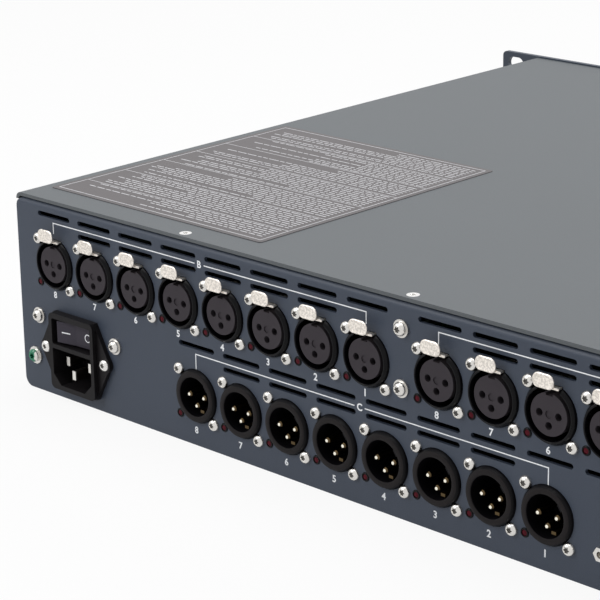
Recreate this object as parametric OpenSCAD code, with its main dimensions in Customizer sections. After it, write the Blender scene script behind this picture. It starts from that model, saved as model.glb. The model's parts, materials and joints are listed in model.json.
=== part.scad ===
// Sixteen-channel microphone preamp in a two-unit rack case.
// +X is to the right when the front is faced, +Y runs from the front panel to the rear panel, +Z is up.
// The origin is the centre of the case's underside.

/* [Rack panel] */
// Width of the front panel, ears included
rack_w = 482.6; // [470:0.1:600]
// Height of the front panel
rack_h = 88.1; // [86:0.1:140]
// Thickness of the front panel
panel_t = 2.5; // [2:0.5:5]
// Length of each rack ear outside the case
ear_w = 21.3; // [21:0.1:30]
// Radius of the front panel's corners
panel_corner_r = 2.5; // [1:0.1:5]
// Length of a mounting slot
rack_slot_l = 10.2; // [8:0.1:12]
// Height of a mounting slot
rack_slot_w = 6.8; // [6:0.1:8]
// Distance from the panel's end to a slot's centre
slot_edge_x = 8.75; // [8:0.05:10]
// Distance from the panel's top or bottom edge to a slot's centre
slot_edge_z = 5.95; // [5:0.05:8]

/* [Case] */
// Depth of the case behind the front panel
body_d = 355; // [300:1:440]
// Thickness of the steel sheet
sheet_t = 1.5; // [1.2:0.1:2]
// Outside radius of the cover's side bends
cover_bend_r = 3; // [2:0.1:5]
// How far the cover lies below the front panel's top edge
cover_drop = 0.8; // [0.2:0.1:2]
// Gap between sheets that face each other
sheet_gap = 0.4; // [0.3:0.1:0.6]
// Outside radius of the rear panel's top bend
rear_bend_r = 2.4; // [2:0.1:3]
// Radius of the rear panel's corners
rear_corner_r = 4.2; // [4:0.1:6]
// Depth of the rear panel's top flange
rear_flange_d = 15; // [14:0.5:20]

/* [Sockets] */
// Distance between neighbouring sockets
pitch = 25.4; // [25.4:0.1:32]
// Extra distance between the two banks of inputs
bank_gap = 9.6; // [9:0.1:14]
// Sideways place of the middle of the input row
input_shift = 0.5; // [0:0.1:1]
// Height of the output row's centres
output_row_z = 21.5; // [21.5:0.1:24]
// Distance from the output row up to the input row
row_step = 38.1; // [38:0.1:42]
// Sideways place of the middle of the output row
output_shift = 21.6; // [10:0.1:24]
// Outside radius of a socket's round nose at the panel
nose_r = 11.2; // [10.8:0.1:11.3]
// How far a socket's nose stands out of the panel
nose_h = 1.6; // [1.4:0.1:1.9]
// Outside radius of an input's nose at its front
input_front_r = 10.3; // [10.2:0.1:10.8]
// Outside radius of an output's nose at its front
output_front_r = 10.5; // [10.2:0.1:10.8]
// Width and height of a socket's housing
housing_w = 25; // [24:0.1:25]
// Depth of a socket's housing behind the panel
housing_d = 21.9; // [20:0.1:24]
// Radius of the recess that a plug's shell goes into
groove_r = 9.8; // [9.6:0.1:10]
// Radius of an input's contact insert
insert_r = 7.9; // [7.8:0.05:8]
// How far the insert stands out of the panel
insert_out = 1.15; // [0.8:0.05:1.3]
// Depth of the recess around the insert
groove_d = 14; // [12:0.5:15]
// Radius of an output's cup
cup_r = 8.25; // [8.1:0.05:8.6]
// Depth of an output's cup behind the panel
cup_d = 13; // [12:0.5:14]
// Radius of the circle that the contacts stand on
contact_circle_r = 4.15; // [3.9:0.01:4.3]
// Radius of an output's pin
pin_r = 1.2; // [1:0.05:1.25]
// Sideways distance from a socket's centre to its screws
screw_step_x = 9.75; // [9.7:0.05:10]
// Upward and downward distance from a socket's centre to its screws
screw_step_z = 9.9; // [9.8:0.05:10]
// Sideways distance from a socket's centre to its lamp
lamp_step_x = 9.9; // [9.8:0.05:10]
// Distance from a socket's centre down to its lamp
lamp_step_z = 9.5; // [9.4:0.05:9.8]
// Radius of a channel lamp
lamp_r = 1.5; // [1.25:0.05:1.6]
// How far a lamp's dome stands out of the panel
lamp_out = 0.4; // [0.3:0.05:0.6]

/* [Latches] */
// Width of the push tab
tab_w = 9.3; // [8.6:0.1:10]
// Height of the push tab
tab_h = 5.6; // [5.2:0.1:6.4]
// Height of the tab's centre above the socket's centre
tab_rise = 13.4; // [13.3:0.1:14]
// Distance from the panel to the back of the tab
tab_out = 4.2; // [4.1:0.1:5]
// Thickness of the latch's metal
latch_t = 0.9; // [0.7:0.1:1]
// Half of the width of the latch's arm
latch_half_w = 4.6; // [4.2:0.1:4.6]
// Half of the width of the neck between the arm and the tab
neck_half_w = 2.6; // [2:0.1:3]
// How far the arm stands out of the panel
arm_out = 1.9; // [1.8:0.1:2.2]
// Free space on each side of the arm
latch_gap = 0.4; // [0.35:0.05:0.5]

/* [Vents] */
// Length of a ventilation slot
vent_l = 20.3; // [16:0.1:20.5]
// Height of a ventilation slot
vent_w = 2.2; // [1.8:0.1:2.4]
// Height of the upper slots above a row's centres
vent_rise_high = 21; // [20.8:0.1:21.2]
// Height of the lower slots above a row's centres
vent_rise_low = 15.3; // [15.1:0.1:15.6]
// Sideways distance from a socket's centre to its slots
vent_shift = -0.5; // [-1:0.1:1]
// Number of upper slots over the output row
output_vents = 12; // [8:1:12]

/* [Mains inlet] */
// Distance from the case's side to the middle of the inlet
inlet_edge = 36.7; // [36:0.1:40]
// Height of the inlet's middle
inlet_z = 22.2; // [22:0.1:26]
// Width of the inlet's frame
frame_w = 28.2; // [28:0.1:29]
// Height of the inlet's frame
frame_h = 34; // [33.5:0.1:35]
// How far the frame stands out of the panel
frame_out = 4; // [3.5:0.1:5]
// Distance between the inlet's screws
inlet_screw_span = 37.3; // [37:0.1:40]
// Width of the cavity that the mains plug goes into
cavity_w = 24.4; // [24.2:0.1:24.8]
// Height of the cavity
cavity_h = 16.2; // [16:0.1:16.6]
// Angle at which the switch's rocker rests to each side
rocker_tilt = 7; // [5:0.5:8]

/* [Multi-pin outputs] */
// Distance from the case's other side to the farther connector
multipin_edge = 42.8; // [40:0.1:50]
// Distance between the two connectors
multipin_step = 60; // [58:0.1:62]
// Height of the connectors' centres
multipin_z = 16; // [15:0.1:17]
// Distance between a connector's two posts
post_span = 47.04; // [47:0.01:47.1]

/* [Network sockets] */
// Distance from the case's other side to the farther socket
network_edge = 30; // [28:0.1:40]
// Distance between the two sockets
network_step = 24; // [20:0.1:30]
// Height of the sockets' centres
network_z = 31.4; // [31:0.1:32]

/* [Front controls] */
// Sideways place of the display's middle
display_x = -60; // [-80:1:-40]
// Width of the display window
display_w = 106; // [80:1:120]
// Height of the display window
display_h = 26; // [20:1:30]
// Sideways place of the control knob
knob_x = 160; // [150:1:165]
// Radius of the control knob
knob_r = 12; // [9:0.5:14]
// Length of the control knob
knob_l = 15; // [12:0.5:20]
// Sideways place of the first button
first_button_x = 60; // [50:1:70]
// Distance between buttons
button_step = 24; // [20:1:28]
// Width of a button
button_w = 12; // [10:0.5:14]
// Height of a button
button_h = 7; // [6:0.5:8]
// Distance between the lamps of the front panel
front_lamp_step = 8; // [6:0.5:9]

/* [Boards] */
// Thickness of a circuit board
board_t = 1.6; // [1.2:0.1:2]
// Height of the pillars that the boards stand on
pillar_h = 8; // [7:0.5:10]
// Free space between a board and the case's side
board_margin = 7; // [6:0.5:10]

/* [Fasteners] */
// Radius of a socket screw's head
socket_screw_head_r = 2.5; // [2.2:0.1:2.6]
// Radius of a case screw's head
case_screw_head_r = 2.8; // [2.6:0.1:3]
// Radius of a case screw's washer
washer_r = 3.5; // [3.2:0.1:3.6]
// Thickness of a washer
washer_t = 0.8; // [0.5:0.1:1]
// Radius of a thin screw's shank
thin_shank_r = 1.25; // [1.1:0.05:1.3]
// Radius of a case screw's shank
shank_r = 1.5; // [1.4:0.05:1.6]

/* [Hidden] */
$fn = 48;
bank_size = 8;
inputs = 2 * bank_size;
slip = 0.05;          // free space around a shank, a pin or an insert that fits its hole
screw_gap = 0.3;      // free space around a shank in a sheet
body_w = rack_w - 2 * ear_w;
body_h = rack_h - cover_drop;
side_x = body_w / 2;
rear_y = body_d / 2;
front_y = -body_d / 2;
panel_front_y = front_y - panel_t;
inner_rear_y = rear_y - sheet_t;
rear_h = body_h - sheet_t - sheet_gap;
rear_w = body_w - 2 * sheet_gap;
tray_w = body_w - 2 * sheet_t - 2 * sheet_gap;
input_row_z = output_row_z + row_step;
inlet_x = side_x - inlet_edge;
rack_mid_z = rack_h / 2;
socket_board_y = inner_rear_y - housing_d;
board_z = sheet_t + pillar_h;
board_x = side_x - board_margin;
board_back_y = socket_board_y - 12;
tray_lip_h = 6;
tray_flange_h = 13;
cover_screw_r = 2.5;
cover_row = [-121, -1, 119];
cover_screw_inset = 4.5;
side_screw_y = [-body_d / 2 + 30, 0, body_d / 2 - 30];
button_names = ["left_button", "middle_button", "right_button"];
button_travel = 1.2;
button_out = 3;
knob_gap = 1.6;
front_frame_t = sheet_t;
front_board_y = front_y + 8;
inlet_well_z = 8.9;
inlet_well_h = 11.4;
inlet_cavity_z = -6.8;
lamp_row_z = 20;
lamp_dome_r = (lamp_r * lamp_r + lamp_out * lamp_out) / (2 * lamp_out);
screw_step = [screw_step_x, screw_step_z];
lamp_step = [lamp_step_x, -lamp_step_z];
cup_rib_turn = -52;
ground_tab_x = [-3.7, -1.7];
display_z = rack_mid_z + 6;

function input_x(n) =
  input_shift + ((inputs - 1) * pitch + bank_gap) / 2 - n * pitch - (n < bank_size ? 0 : bank_gap);
function output_x(n) = output_shift + (bank_size - 1) / 2 * pitch - n * pitch;
function latch_name(n) = str("latch_", n < bank_size ? "b" : "a", bank_size - n % bank_size);
function arc(cx, cy, r, from, to, steps = 6) =
  [for (k = [0:steps]) let (a = from + (to - from) * k / steps) [cx + r * cos(a), cy + r * sin(a)]];

input_places = [for (n = [0:inputs - 1]) [input_x(n), input_row_z]];
output_places = [for (n = [0:bank_size - 1]) [output_x(n), output_row_z]];
socket_places = concat(input_places, output_places);
multipin_x = [for (n = [0, 1]) -side_x + multipin_edge + n * multipin_step];
network_x = [for (n = [0, 1]) -side_x + network_edge + n * network_step];
button_x = [for (n = [0:2]) first_button_x + n * button_step];
front_lamp_x = [for (n = [0:inputs - 1]) display_x + (n - (inputs - 1) / 2) * front_lamp_step];
inner_screw_x = input_x(bank_size - 1) / 2 + input_x(bank_size) / 2;
pillar_screws = [[inner_screw_x, input_row_z + 15.7], [inner_screw_x, input_row_z - 7.5]];
side_screws = [[side_x - 12.4, 34.6], [side_x - 61, 31.5], [-side_x + 12.4, 34.6]];
case_screws = concat(pillar_screws, side_screws);
ground_place = [side_x - 8.6, 15.6];
front_screw_places = [for (x = [-1, 1], z = [12, rack_h - 12]) [x * (side_x - 15), z]];
front_board_x = [-side_x + 12, side_x - 45];
front_board_z = [10, body_h - 12];

// Each plan is [left, right, front, back].
power_plan = [side_x - 100, board_x, front_y + body_d * 0.42, board_back_y];
preamp_split = (power_plan[0] - board_x) / 2 - 2;
preamp_plans = [
  [-board_x, preamp_split - 2, front_y + body_d * 0.34, board_back_y],
  [preamp_split + 2, power_plan[0] - 4, front_y + body_d * 0.34, board_back_y]
];
control_plan = [-side_x + 60, side_x - 120, front_y + 16, front_y + body_d * 0.34 - 6];
lying_boards = concat([power_plan], preamp_plans, [control_plan]);

// ---- shapes that repeat ----

module round_rect(w, h, r) {
  square([w - 2 * r, h], center = true);
  square([w, h - 2 * r], center = true);
  for (x = [-1, 1], y = [-1, 1])
    translate([x * (w / 2 - r), y * (h / 2 - r)]) circle(r);
}

module slot_shape(l, w) {
  square([l - w, w], center = true);
  for (x = [-1, 1])
    translate([x * (l - w) / 2, 0]) circle(w / 2);
}

// A flat outline drawn in X and Z, made solid from y0 to y1.
module upright(y0, y1) {
  translate([0, y1, 0]) rotate([90, 0, 0]) linear_extrude(y1 - y0) children();
}

// A flat outline drawn in Y and Z, made solid over a width centred on X = 0.
module sideways(w) {
  translate([-w / 2, 0, 0]) rotate([90, 0, 90]) linear_extrude(w) children();
}

// A round bar along Y.
module rod(r, y0, y1) {
  translate([0, y1, 0]) rotate([90, 0, 0]) cylinder(r = r, h = y1 - y0);
}

// A round bar along Y that narrows from r0 to r1.
module taper(r0, r1, y0, y1) {
  translate([0, y1, 0]) rotate([90, 0, 0]) cylinder(r1 = r1, r2 = r0, h = y1 - y0);
}

// Puts a piece drawn around a socket's centre, with the panel's outer face at Y = 0, in its place.
module at_rear(place) {
  translate([place[0], rear_y, place[1]]) children();
}

module block(x, y, z) {
  translate([x[0], y[0], z[0]]) cube([x[1] - x[0], y[1] - y[0], z[1] - z[0]]);
}

// The six-lobed recess of a screw head, cut inwards along -Y.
module lobed_recess(r, y0, y1) {
  rod(r * 0.72, y0, y1);
  for (k = [0:5])
    rotate([0, 60 * k, 0]) translate([r * 0.74, 0, 0]) rod(r * 0.26, y0, y1);
}

// A pan head screw whose seat is at Y = 0 and whose shank runs inwards.
module pan_screw(head_r, head_h, stem_r, stem_l) {
  difference() {
    union() {
      rod(head_r, 0, head_h * 0.6);
      taper(head_r, head_r * 0.72, head_h * 0.6, head_h);
      rod(stem_r, -stem_l, 0);
    }
    lobed_recess(head_r * 0.5, head_h * 0.35, head_h + 1);
  }
}

// ---- the case ----

module base_tray() {
  color("darkslategray") difference() {
    union() {
      block([-tray_w / 2, tray_w / 2], [front_y, inner_rear_y], [0, sheet_t]);
      block([-tray_w / 2, tray_w / 2], [inner_rear_y - sheet_t, inner_rear_y], [0, tray_lip_h]);
      for (x = [0, 1])
        mirror([x, 0, 0])
          block([tray_w / 2 - sheet_t, tray_w / 2], [front_y + 12, inner_rear_y - 4], [0, tray_flange_h]);
    }
    for (plan = preamp_plans, k = [0:9])
      translate([(plan[0] + plan[1]) / 2, plan[2] + 40 + k * 8, -1])
        linear_extrude(sheet_t + 2) slot_shape(50, 3);
    for (x = [-1, 1], y = side_screw_y)
      translate([x * tray_w / 2, y, tray_flange_h / 2 + 2])
        rotate([0, 90, 0]) cylinder(r = shank_r + slip, h = 4 * sheet_t, center = true);
  }
}

module cover_outline(inset) {
  w = body_w - 2 * inset;
  h = body_h - inset;
  r = cover_bend_r - inset;
  translate([-w / 2, 0]) square([w, h - r]);
  translate([-w / 2 + r, 0]) square([w - 2 * r, h]);
  for (x = [-1, 1])
    translate([x * (w / 2 - r), h - r]) circle(r);
}

module cover_shell(y0, y1) {
  upright(y0, y1) difference() {
    cover_outline(0);
    translate([0, -1]) square([body_w * 2, 2 * sheet_gap + 2], center = true);
    cover_outline(sheet_t);
  }
}

module countersink(stem_r, head_r) {
  translate([0, 0, -4]) cylinder(r = stem_r, h = 8);
  translate([0, 0, stem_r - head_r]) cylinder(r1 = stem_r, r2 = head_r, h = head_r - stem_r);
}

module top_cover() {
  vents = 14;
  color("slategray") difference() {
    union() {
      cover_shell(front_y, inner_rear_y - sheet_gap / 2);
      intersection() {
        cover_shell(front_y, rear_y - sheet_gap);
        block([-body_w, body_w], [0, body_d], [body_h - cover_bend_r, body_h + 1]);
      }
    }
    for (x = cover_row, y = [front_y + 9, rear_y - cover_screw_inset])
      translate([x, y, body_h]) countersink(shank_r + slip, cover_screw_r + slip);
    for (x = [0, 1], y = side_screw_y)
      mirror([x, 0, 0]) translate([side_x, y, tray_flange_h / 2 + 2])
        rotate([0, 90, 0]) countersink(shank_r + slip, cover_screw_r + slip);
    for (y = [-body_d / 4, body_d / 4], k = [0:vents - 1])
      translate([0, y + (k - (vents - 1) / 2) * 7, body_h * 0.56])
        cube([body_w + 2, 2.4, 34], center = true);
  }
}

// The sheet's cross-section in Y and Z: the upright wall and the flange bent forward over its top.
module rear_section() {
  inner_r = rear_bend_r - sheet_t;
  difference() {
    union() {
      translate([rear_y - rear_flange_d, 0]) square([rear_flange_d - rear_bend_r, rear_h]);
      translate([rear_y - rear_flange_d, 0]) square([rear_flange_d, rear_h - rear_bend_r]);
      translate([rear_y - rear_bend_r, rear_h - rear_bend_r]) circle(rear_bend_r);
    }
    translate([0, -1]) square([rear_y - rear_bend_r, rear_h - sheet_t + 1]);
    translate([0, -1]) square([inner_rear_y, rear_h - rear_bend_r + 1]);
    translate([rear_y - rear_bend_r, rear_h - rear_bend_r]) circle(inner_r);
  }
}

module multipin_outline(w, h, r = 2.4) {
  lean = h * tan(10) / 2;
  top = w / 2;
  low = w / 2 - 2 * lean;
  polygon(concat(
    arc(top - r, h / 2 - r, r, -10, 90),
    arc(-top + r, h / 2 - r, r, 90, 190),
    arc(-low + r, -h / 2 + r, r, 190, 270),
    arc(low - r, -h / 2 + r, r, 270, 350)
  ));
}

module vent(x, z) {
  translate([x + vent_shift, z]) slot_shape(vent_l, vent_w);
}

module rear_holes() {
  for (p = socket_places) {
    translate(p) circle(nose_r + screw_gap);
    for (s = [-1, 1])
      translate(p + s * screw_step) circle(thin_shank_r + screw_gap);
    translate(p + lamp_step) circle(lamp_r + slip);
  }
  for (p = input_places)
    translate(p + [0, tab_rise - 2.7]) square([2 * latch_half_w + 2 * latch_gap, 3.2], center = true);
  for (n = [0:inputs - 1])
    vent(input_x(n), input_row_z + vent_rise_high);
  for (n = [0:output_vents - 1])
    vent(output_x(n), output_row_z + vent_rise_high);
  for (bank = [0, 1], n = [1:bank_size - 2])
    vent(input_x(bank * bank_size + n), input_row_z + vent_rise_low);
  for (n = [1:bank_size - 2])
    vent(output_x(n), output_row_z + vent_rise_low);
  translate([inlet_x, inlet_z]) round_rect(frame_w - 1, frame_h - 2, 1);
  for (s = [-1, 1])
    translate([inlet_x + s * inlet_screw_span / 2, inlet_z]) circle(shank_r + screw_gap);
  for (p = case_screws)
    translate(p) circle(shank_r + screw_gap);
  translate(ground_place) circle(shank_r + screw_gap);
  for (x = multipin_x) {
    translate([x, multipin_z]) multipin_outline(39.4, 9);
    for (s = [-1, 1])
      translate([x + s * post_span / 2, multipin_z]) circle(shank_r + slip);
  }
  for (x = network_x)
    translate([x, network_z]) square([16.8, 14.2], center = true);
}

module rear_panel() {
  color("darkslategray") difference() {
    intersection() {
      sideways(rear_w) rear_section();
      upright(0, body_d) translate([0, rear_h / 2]) round_rect(rear_w, rear_h, rear_corner_r);
    }
    upright(inner_rear_y - 1, rear_y + 1) rear_holes();
    for (x = [0, 1])
      mirror([x, 0, 0])
        block([tray_w / 2, side_x], [rear_y - rear_flange_d - 1, inner_rear_y], [0, body_h]);
    for (x = cover_row)
      translate([x, rear_y - cover_screw_inset, rear_h - 3]) cylinder(r = shank_r + slip, h = 6);
  }
}

module front_openings(grow) {
  translate([display_x, display_z]) round_rect(display_w + grow, display_h + grow, 2);
  for (x = button_x)
    translate([x, rack_mid_z]) round_rect(button_w + 0.8 + 1.5 * grow, button_h + 0.8 + 1.5 * grow, 1.2);
  for (x = front_lamp_x)
    translate([x, lamp_row_z]) circle(1.3 + grow / 6);
  translate([-side_x + 20, rack_mid_z]) circle(1.3 + grow / 6);
  for (p = front_screw_places)
    translate(p) circle(2 + screw_gap);
}

module front_panel() {
  color("darkslategray") upright(panel_front_y, front_y) difference() {
    translate([0, rack_mid_z]) round_rect(rack_w, rack_h, panel_corner_r);
    for (x = [-1, 1], z = [-1, 1])
      translate([x * (rack_w / 2 - slot_edge_x), rack_mid_z + z * (rack_h / 2 - slot_edge_z)])
        slot_shape(rack_slot_l, rack_slot_w);
    front_openings(0);
    translate([knob_x, rack_mid_z]) circle(3.7);
  }
}

module front_frame() {
  z0 = sheet_t + sheet_gap;
  z1 = body_h - sheet_t - sheet_gap;
  half_w = tray_w / 2 - sheet_gap;
  color("gray") difference() {
    union() {
      block([-half_w, half_w], [front_y, front_y + sheet_t], [z0, z1]);
      block([-half_w, half_w], [front_y, front_y + 14], [z1 - sheet_t, z1]);
    }
    upright(front_y - 1, front_y + sheet_t + 1) {
      front_openings(3);
      translate([knob_x, rack_mid_z]) circle(7.5);
    }
    for (x = cover_row)
      translate([x, front_y + 9, z1 - 3]) cylinder(r = shank_r + slip, h = 6);
  }
}

module rating_plate() {
  plate_w = 126.5;
  plate_d = 143.5;
  plate_t = 0.25;
  color("dimgray")
    translate([side_x - 7 - plate_w / 2, rear_y - 14 - plate_d / 2, body_h])
      linear_extrude(plate_t) round_rect(plate_w, plate_d, 1.5);
}

// ---- fasteners ----

module flat_screw() {
  difference() {
    union() {
      translate([0, 0, shank_r - cover_screw_r])
        cylinder(r1 = shank_r, r2 = cover_screw_r, h = cover_screw_r - shank_r);
      translate([0, 0, -3.6]) cylinder(r = shank_r, h = 3);
    }
    translate([0, 0, -1]) cylinder(r = 1.1, h = 3, $fn = 6);
  }
}

module cover_screws() {
  color("silver") {
    for (x = cover_row, y = [front_y + 9, rear_y - cover_screw_inset])
      translate([x, y, body_h]) flat_screw();
    for (x = [0, 1], y = side_screw_y)
      mirror([x, 0, 0]) translate([side_x, y, tray_flange_h / 2 + 2])
        rotate([0, 90, 0]) flat_screw();
  }
}

module case_screws() {
  color("silver")
    for (p = case_screws)
      at_rear(p) translate([0, washer_t, 0]) pan_screw(case_screw_head_r, 2.2, shank_r, 7);
}

module case_washers() {
  color("gainsboro")
    for (p = case_screws)
      at_rear(p) difference() {
        rod(washer_r, 0, washer_t);
        rod(shank_r + slip, -1, washer_t + 1);
      }
}

module socket_screws() {
  color("silver")
    for (p = socket_places, s = [-1, 1])
      at_rear(p + s * screw_step)
        pan_screw(socket_screw_head_r, 2, thin_shank_r, 9);
}

module inlet_screws() {
  color("silver")
    for (s = [-1, 1])
      at_rear([inlet_x + s * inlet_screw_span / 2, inlet_z])
        translate([0, 2, 0]) pan_screw(2.6, 1.4, shank_r, 7);
}

module front_screws() {
  color("black")
    for (p = front_screw_places)
      translate([p[0], panel_front_y, p[1]]) rotate([0, 0, 180]) pan_screw(3.8, 2.2, 2, panel_t + 6);
}

module ground_terminal() {
  teeth = 12;
  color("silver") at_rear(ground_place) {
    translate([0, washer_t, 0]) pan_screw(case_screw_head_r, 2, shank_r, 9);
    difference() {
      rod(3.9, 0, washer_t);
      rod(shank_r + slip, -1, washer_t + 1);
      for (k = [0:teeth - 1])
        rotate([0, 360 / teeth * k, 0]) translate([4.2, 0, 0]) rod(0.5, -1, washer_t + 1);
    }
  }
}

// ---- inputs and outputs ----

module housing_block() {
  upright(-sheet_t - housing_d, -sheet_t) round_rect(housing_w, housing_w, 1.5);
}

module socket_nose(front_r) {
  edge = 0.3;
  rod(nose_r, -sheet_t, edge);
  taper(nose_r, front_r, edge, nose_h);
}

// Screw holes and the cut corner that the lamp stands in.
module housing_cuts() {
  for (s = [-1, 1])
    translate([s * screw_step[0], 0, s * screw_step[1]]) rod(thin_shank_r + slip, -12, 0);
  upright(-housing_d - 2 * sheet_t, -sheet_t)
    translate(lamp_step + [1.5, -1.5]) square([8, 8], center = true);
}

module input_shell() {
  half_slot = latch_half_w + latch_gap;
  difference() {
    union() {
      housing_block();
      socket_nose(input_front_r);
    }
    rod(groove_r, -groove_d, nose_h + 1);
    block([-half_slot, half_slot], [-groove_d, nose_h + 1], [8, housing_w]);
    housing_cuts();
  }
}

module input_shells() {
  color("black")
    for (p = input_places)
      at_rear(p) input_shell();
}

module input_insert() {
  difference() {
    rod(insert_r, -groove_d, insert_out);
    for (a = [0, 180, 270])
      translate([contact_circle_r * cos(a), 0, contact_circle_r * sin(a)]) rod(1.45, insert_out - 12, insert_out + 1);
    rod(1.5, insert_out - 0.4, insert_out + 1);
    block([-1.5, 1.5], [-groove_d - 1, insert_out + 1], [insert_r - 1, insert_r + 1]);
  }
}

module input_inserts() {
  color("dimgray")
    for (p = input_places)
      at_rear(p) input_insert();
}

module output_shell() {
  difference() {
    union() {
      housing_block();
      socket_nose(output_front_r);
    }
    difference() {
      rod(cup_r, -cup_d, nose_h + 1);
      rotate([0, cup_rib_turn, 0]) block([-1.4, 1.4], [-cup_d, nose_h - 0.5], [cup_r - 1.1, cup_r + 1]);
    }
    for (a = [0, 180, 270])
      translate([contact_circle_r * cos(a), 0, contact_circle_r * sin(a)])
        rod(pin_r + slip, -housing_d - 2 * sheet_t, 0);
    block(ground_tab_x + [-0.1, 0.1], [-cup_d - 4, 0], [-6.8, -5.4]);
    housing_cuts();
  }
}

module output_shells() {
  color("black")
    for (p = output_places)
      at_rear(p) output_shell();
}

module output_pins() {
  color("gold")
    for (p = output_places)
      at_rear(p) {
        for (a = [0, 180, 270])
          translate([contact_circle_r * cos(a), 0, contact_circle_r * sin(a)]) {
            rod(pin_r, -housing_d - sheet_t + slip, -0.2);
            taper(pin_r, pin_r * 0.5, -0.2, 0.5);
          }
        block(ground_tab_x, [-cup_d - 3.9, -0.2], [-6.7, -5.5]);
      }
}

module channel_lamps() {
  color("darkred")
    for (p = socket_places)
      at_rear(p + lamp_step) {
        rod(lamp_r + 0.3, -sheet_t - 1, -sheet_t);
        rod(lamp_r, -sheet_t - 4, 0);
        intersection() {
          rod(lamp_r, -0.5, 1);
          translate([0, lamp_out - lamp_dome_r, 0]) sphere(lamp_dome_r);
        }
      }
}

// The push tab's outline: nearly square below and arched above.
module tab_outline() {
  top_r = 2.7;
  low_r = 1.3;
  polygon(concat(
    arc(tab_w / 2 - top_r, tab_h / 2 - top_r, top_r, 0, 90),
    arc(-tab_w / 2 + top_r, tab_h / 2 - top_r, top_r, 90, 180),
    arc(-tab_w / 2 + low_r, -tab_h / 2 + low_r, low_r, 180, 270),
    arc(tab_w / 2 - low_r, -tab_h / 2 + low_r, low_r, 270, 360)
  ));
}

// A bent metal strip: the arm lies in the housing's slot, and the tab is pushed towards the panel.
module latch(n) {
  top = housing_w / 2 - 1.75;
  low = top - latch_t;
  color("gainsboro") at_rear(input_places[n]) {
    sideways(2 * latch_half_w) polygon([
      [-groove_d + 3, low - 0.8], [-groove_d + 4.5, low], [arm_out, low], [arm_out, top], [-groove_d + 3, top]
    ]);
    sideways(2 * neck_half_w)
      polygon([[arm_out - 1, low], [arm_out, low], [tab_out, low + 1.2], [tab_out, low + 2.6], [arm_out - 1, top]]);
    translate([0, tab_out, tab_rise]) upright(0, latch_t) tab_outline();
  }
}

// ---- mains inlet ----

module inlet_flange_outline() {
  half_w = frame_w / 2 - 1;
  half_h = frame_h / 2;
  tip = inlet_screw_span / 2 + 3.4;
  polygon(concat(
    arc(tip - 4, 0, 4, -50, 50),
    [[half_w, half_h], [-half_w, half_h]],
    arc(-tip + 4, 0, 4, 130, 230),
    [[-half_w, -half_h], [half_w, -half_h]]
  ));
}

module cavity_outline() {
  w = cavity_w / 2;
  h = cavity_h / 2;
  cut = 4.6;
  polygon([[-w, h], [w, h], [w, cut - h], [w - cut, -h], [cut - w, -h], [-w, cut - h]]);
}

module blade_places(grow) {
  translate([0, 0, inlet_cavity_z]) {
    for (s = [-1, 1])
      block([s * 7 - 1 - grow, s * 7 + 1 + grow], [-32, 0], [0 - grow, 4 + grow]);
    block([-1 - grow, 1 + grow], [-32, 3], [-4 - grow, 0 + grow]);
  }
}

module inlet_body() {
  color("black") at_rear([inlet_x, inlet_z]) difference() {
    union() {
      upright(0, 2) inlet_flange_outline();
      upright(0, frame_out) round_rect(frame_w, frame_h, 2.4);
      upright(-24, 0) round_rect(frame_w - 1.6, frame_h - 2.6, 1);
    }
    upright(-8, frame_out + 1) translate([0, inlet_well_z]) round_rect(cavity_w, inlet_well_h, 0.8);
    translate([0, -3.5, inlet_well_z])
      cylinder(r = 1, h = inlet_well_h + 1.6, center = true);
    upright(-12, frame_out + 1) translate([0, inlet_cavity_z]) cavity_outline();
    blade_places(slip);
    for (s = [-1, 1])
      translate([s * inlet_screw_span / 2, 0, 0]) rod(shank_r + slip, -1, 3);
  }
}

module inlet_blades() {
  color("silver") at_rear([inlet_x, inlet_z]) blade_places(0);
}

module power_rocker() {
  half_l = 10.4;
  rocker_h = inlet_well_h - 2;
  color("black") at_rear([inlet_x, inlet_z])
    translate([0, -3.5, inlet_well_z]) rotate([0, 0, rocker_tilt]) {
      translate([0, 0, -rocker_h / 2]) linear_extrude(rocker_h) {
        polygon([[-half_l, 2.4], [half_l, 2.4], [half_l, 5.4], [0, 4.7], [-half_l, 5.4]]);
        circle(3);
      }
      cylinder(r = 0.95, h = inlet_well_h + 1.2, center = true);
    }
}

// ---- multi-pin outputs and network sockets ----

module multipin_shells() {
  color("silver")
    for (x = multipin_x)
      at_rear([x, multipin_z]) difference() {
        union() {
          upright(-sheet_t - 1, -sheet_t) round_rect(53, 12.4, 1);
          upright(-sheet_t - 1, 4.4) multipin_outline(38.6, 8.2);
        }
        upright(-sheet_t - 2, 5) multipin_outline(37.6, 7.2, 1.9);
        for (s = [-1, 1])
          translate([s * post_span / 2, 0, 0]) rod(shank_r + slip, -5, 0);
      }
}

module multipin_inserts() {
  color("navy")
    for (x = multipin_x)
      at_rear([x, multipin_z]) difference() {
        union() {
          upright(-sheet_t - 1, 4.1) multipin_outline(37.5, 7.1, 1.85);
          upright(-14, -sheet_t - 1) square([41, 11], center = true);
        }
        for (k = [0:12])
          translate([(k - 6) * 2.76, 0, 1.42]) rod(0.6, -1, 5);
        for (k = [0:11])
          translate([(k - 5.5) * 2.76, 0, -1.42]) rod(0.6, -1, 5);
      }
}

module hex_posts() {
  color("silver")
    for (x = multipin_x, s = [-1, 1])
      at_rear([x + s * post_span / 2, multipin_z]) difference() {
        union() {
          translate([0, 5, 0]) rotate([90, 0, 0]) cylinder(r = 2.9, h = 5, $fn = 6);
          rod(shank_r, -5, 0);
        }
        rod(1.3, 1, 6);
      }
}

module network_sockets() {
  color("silver")
    for (x = network_x)
      at_rear([x, network_z]) difference() {
        upright(-17, 0.8) square([16.2, 13.6], center = true);
        upright(-12.5, 2) {
          translate([0, 0.6]) square([11.8, 8.2], center = true);
          translate([0, -4.3]) square([6.4, 2.4], center = true);
        }
      }
}

// ---- front ----

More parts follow.
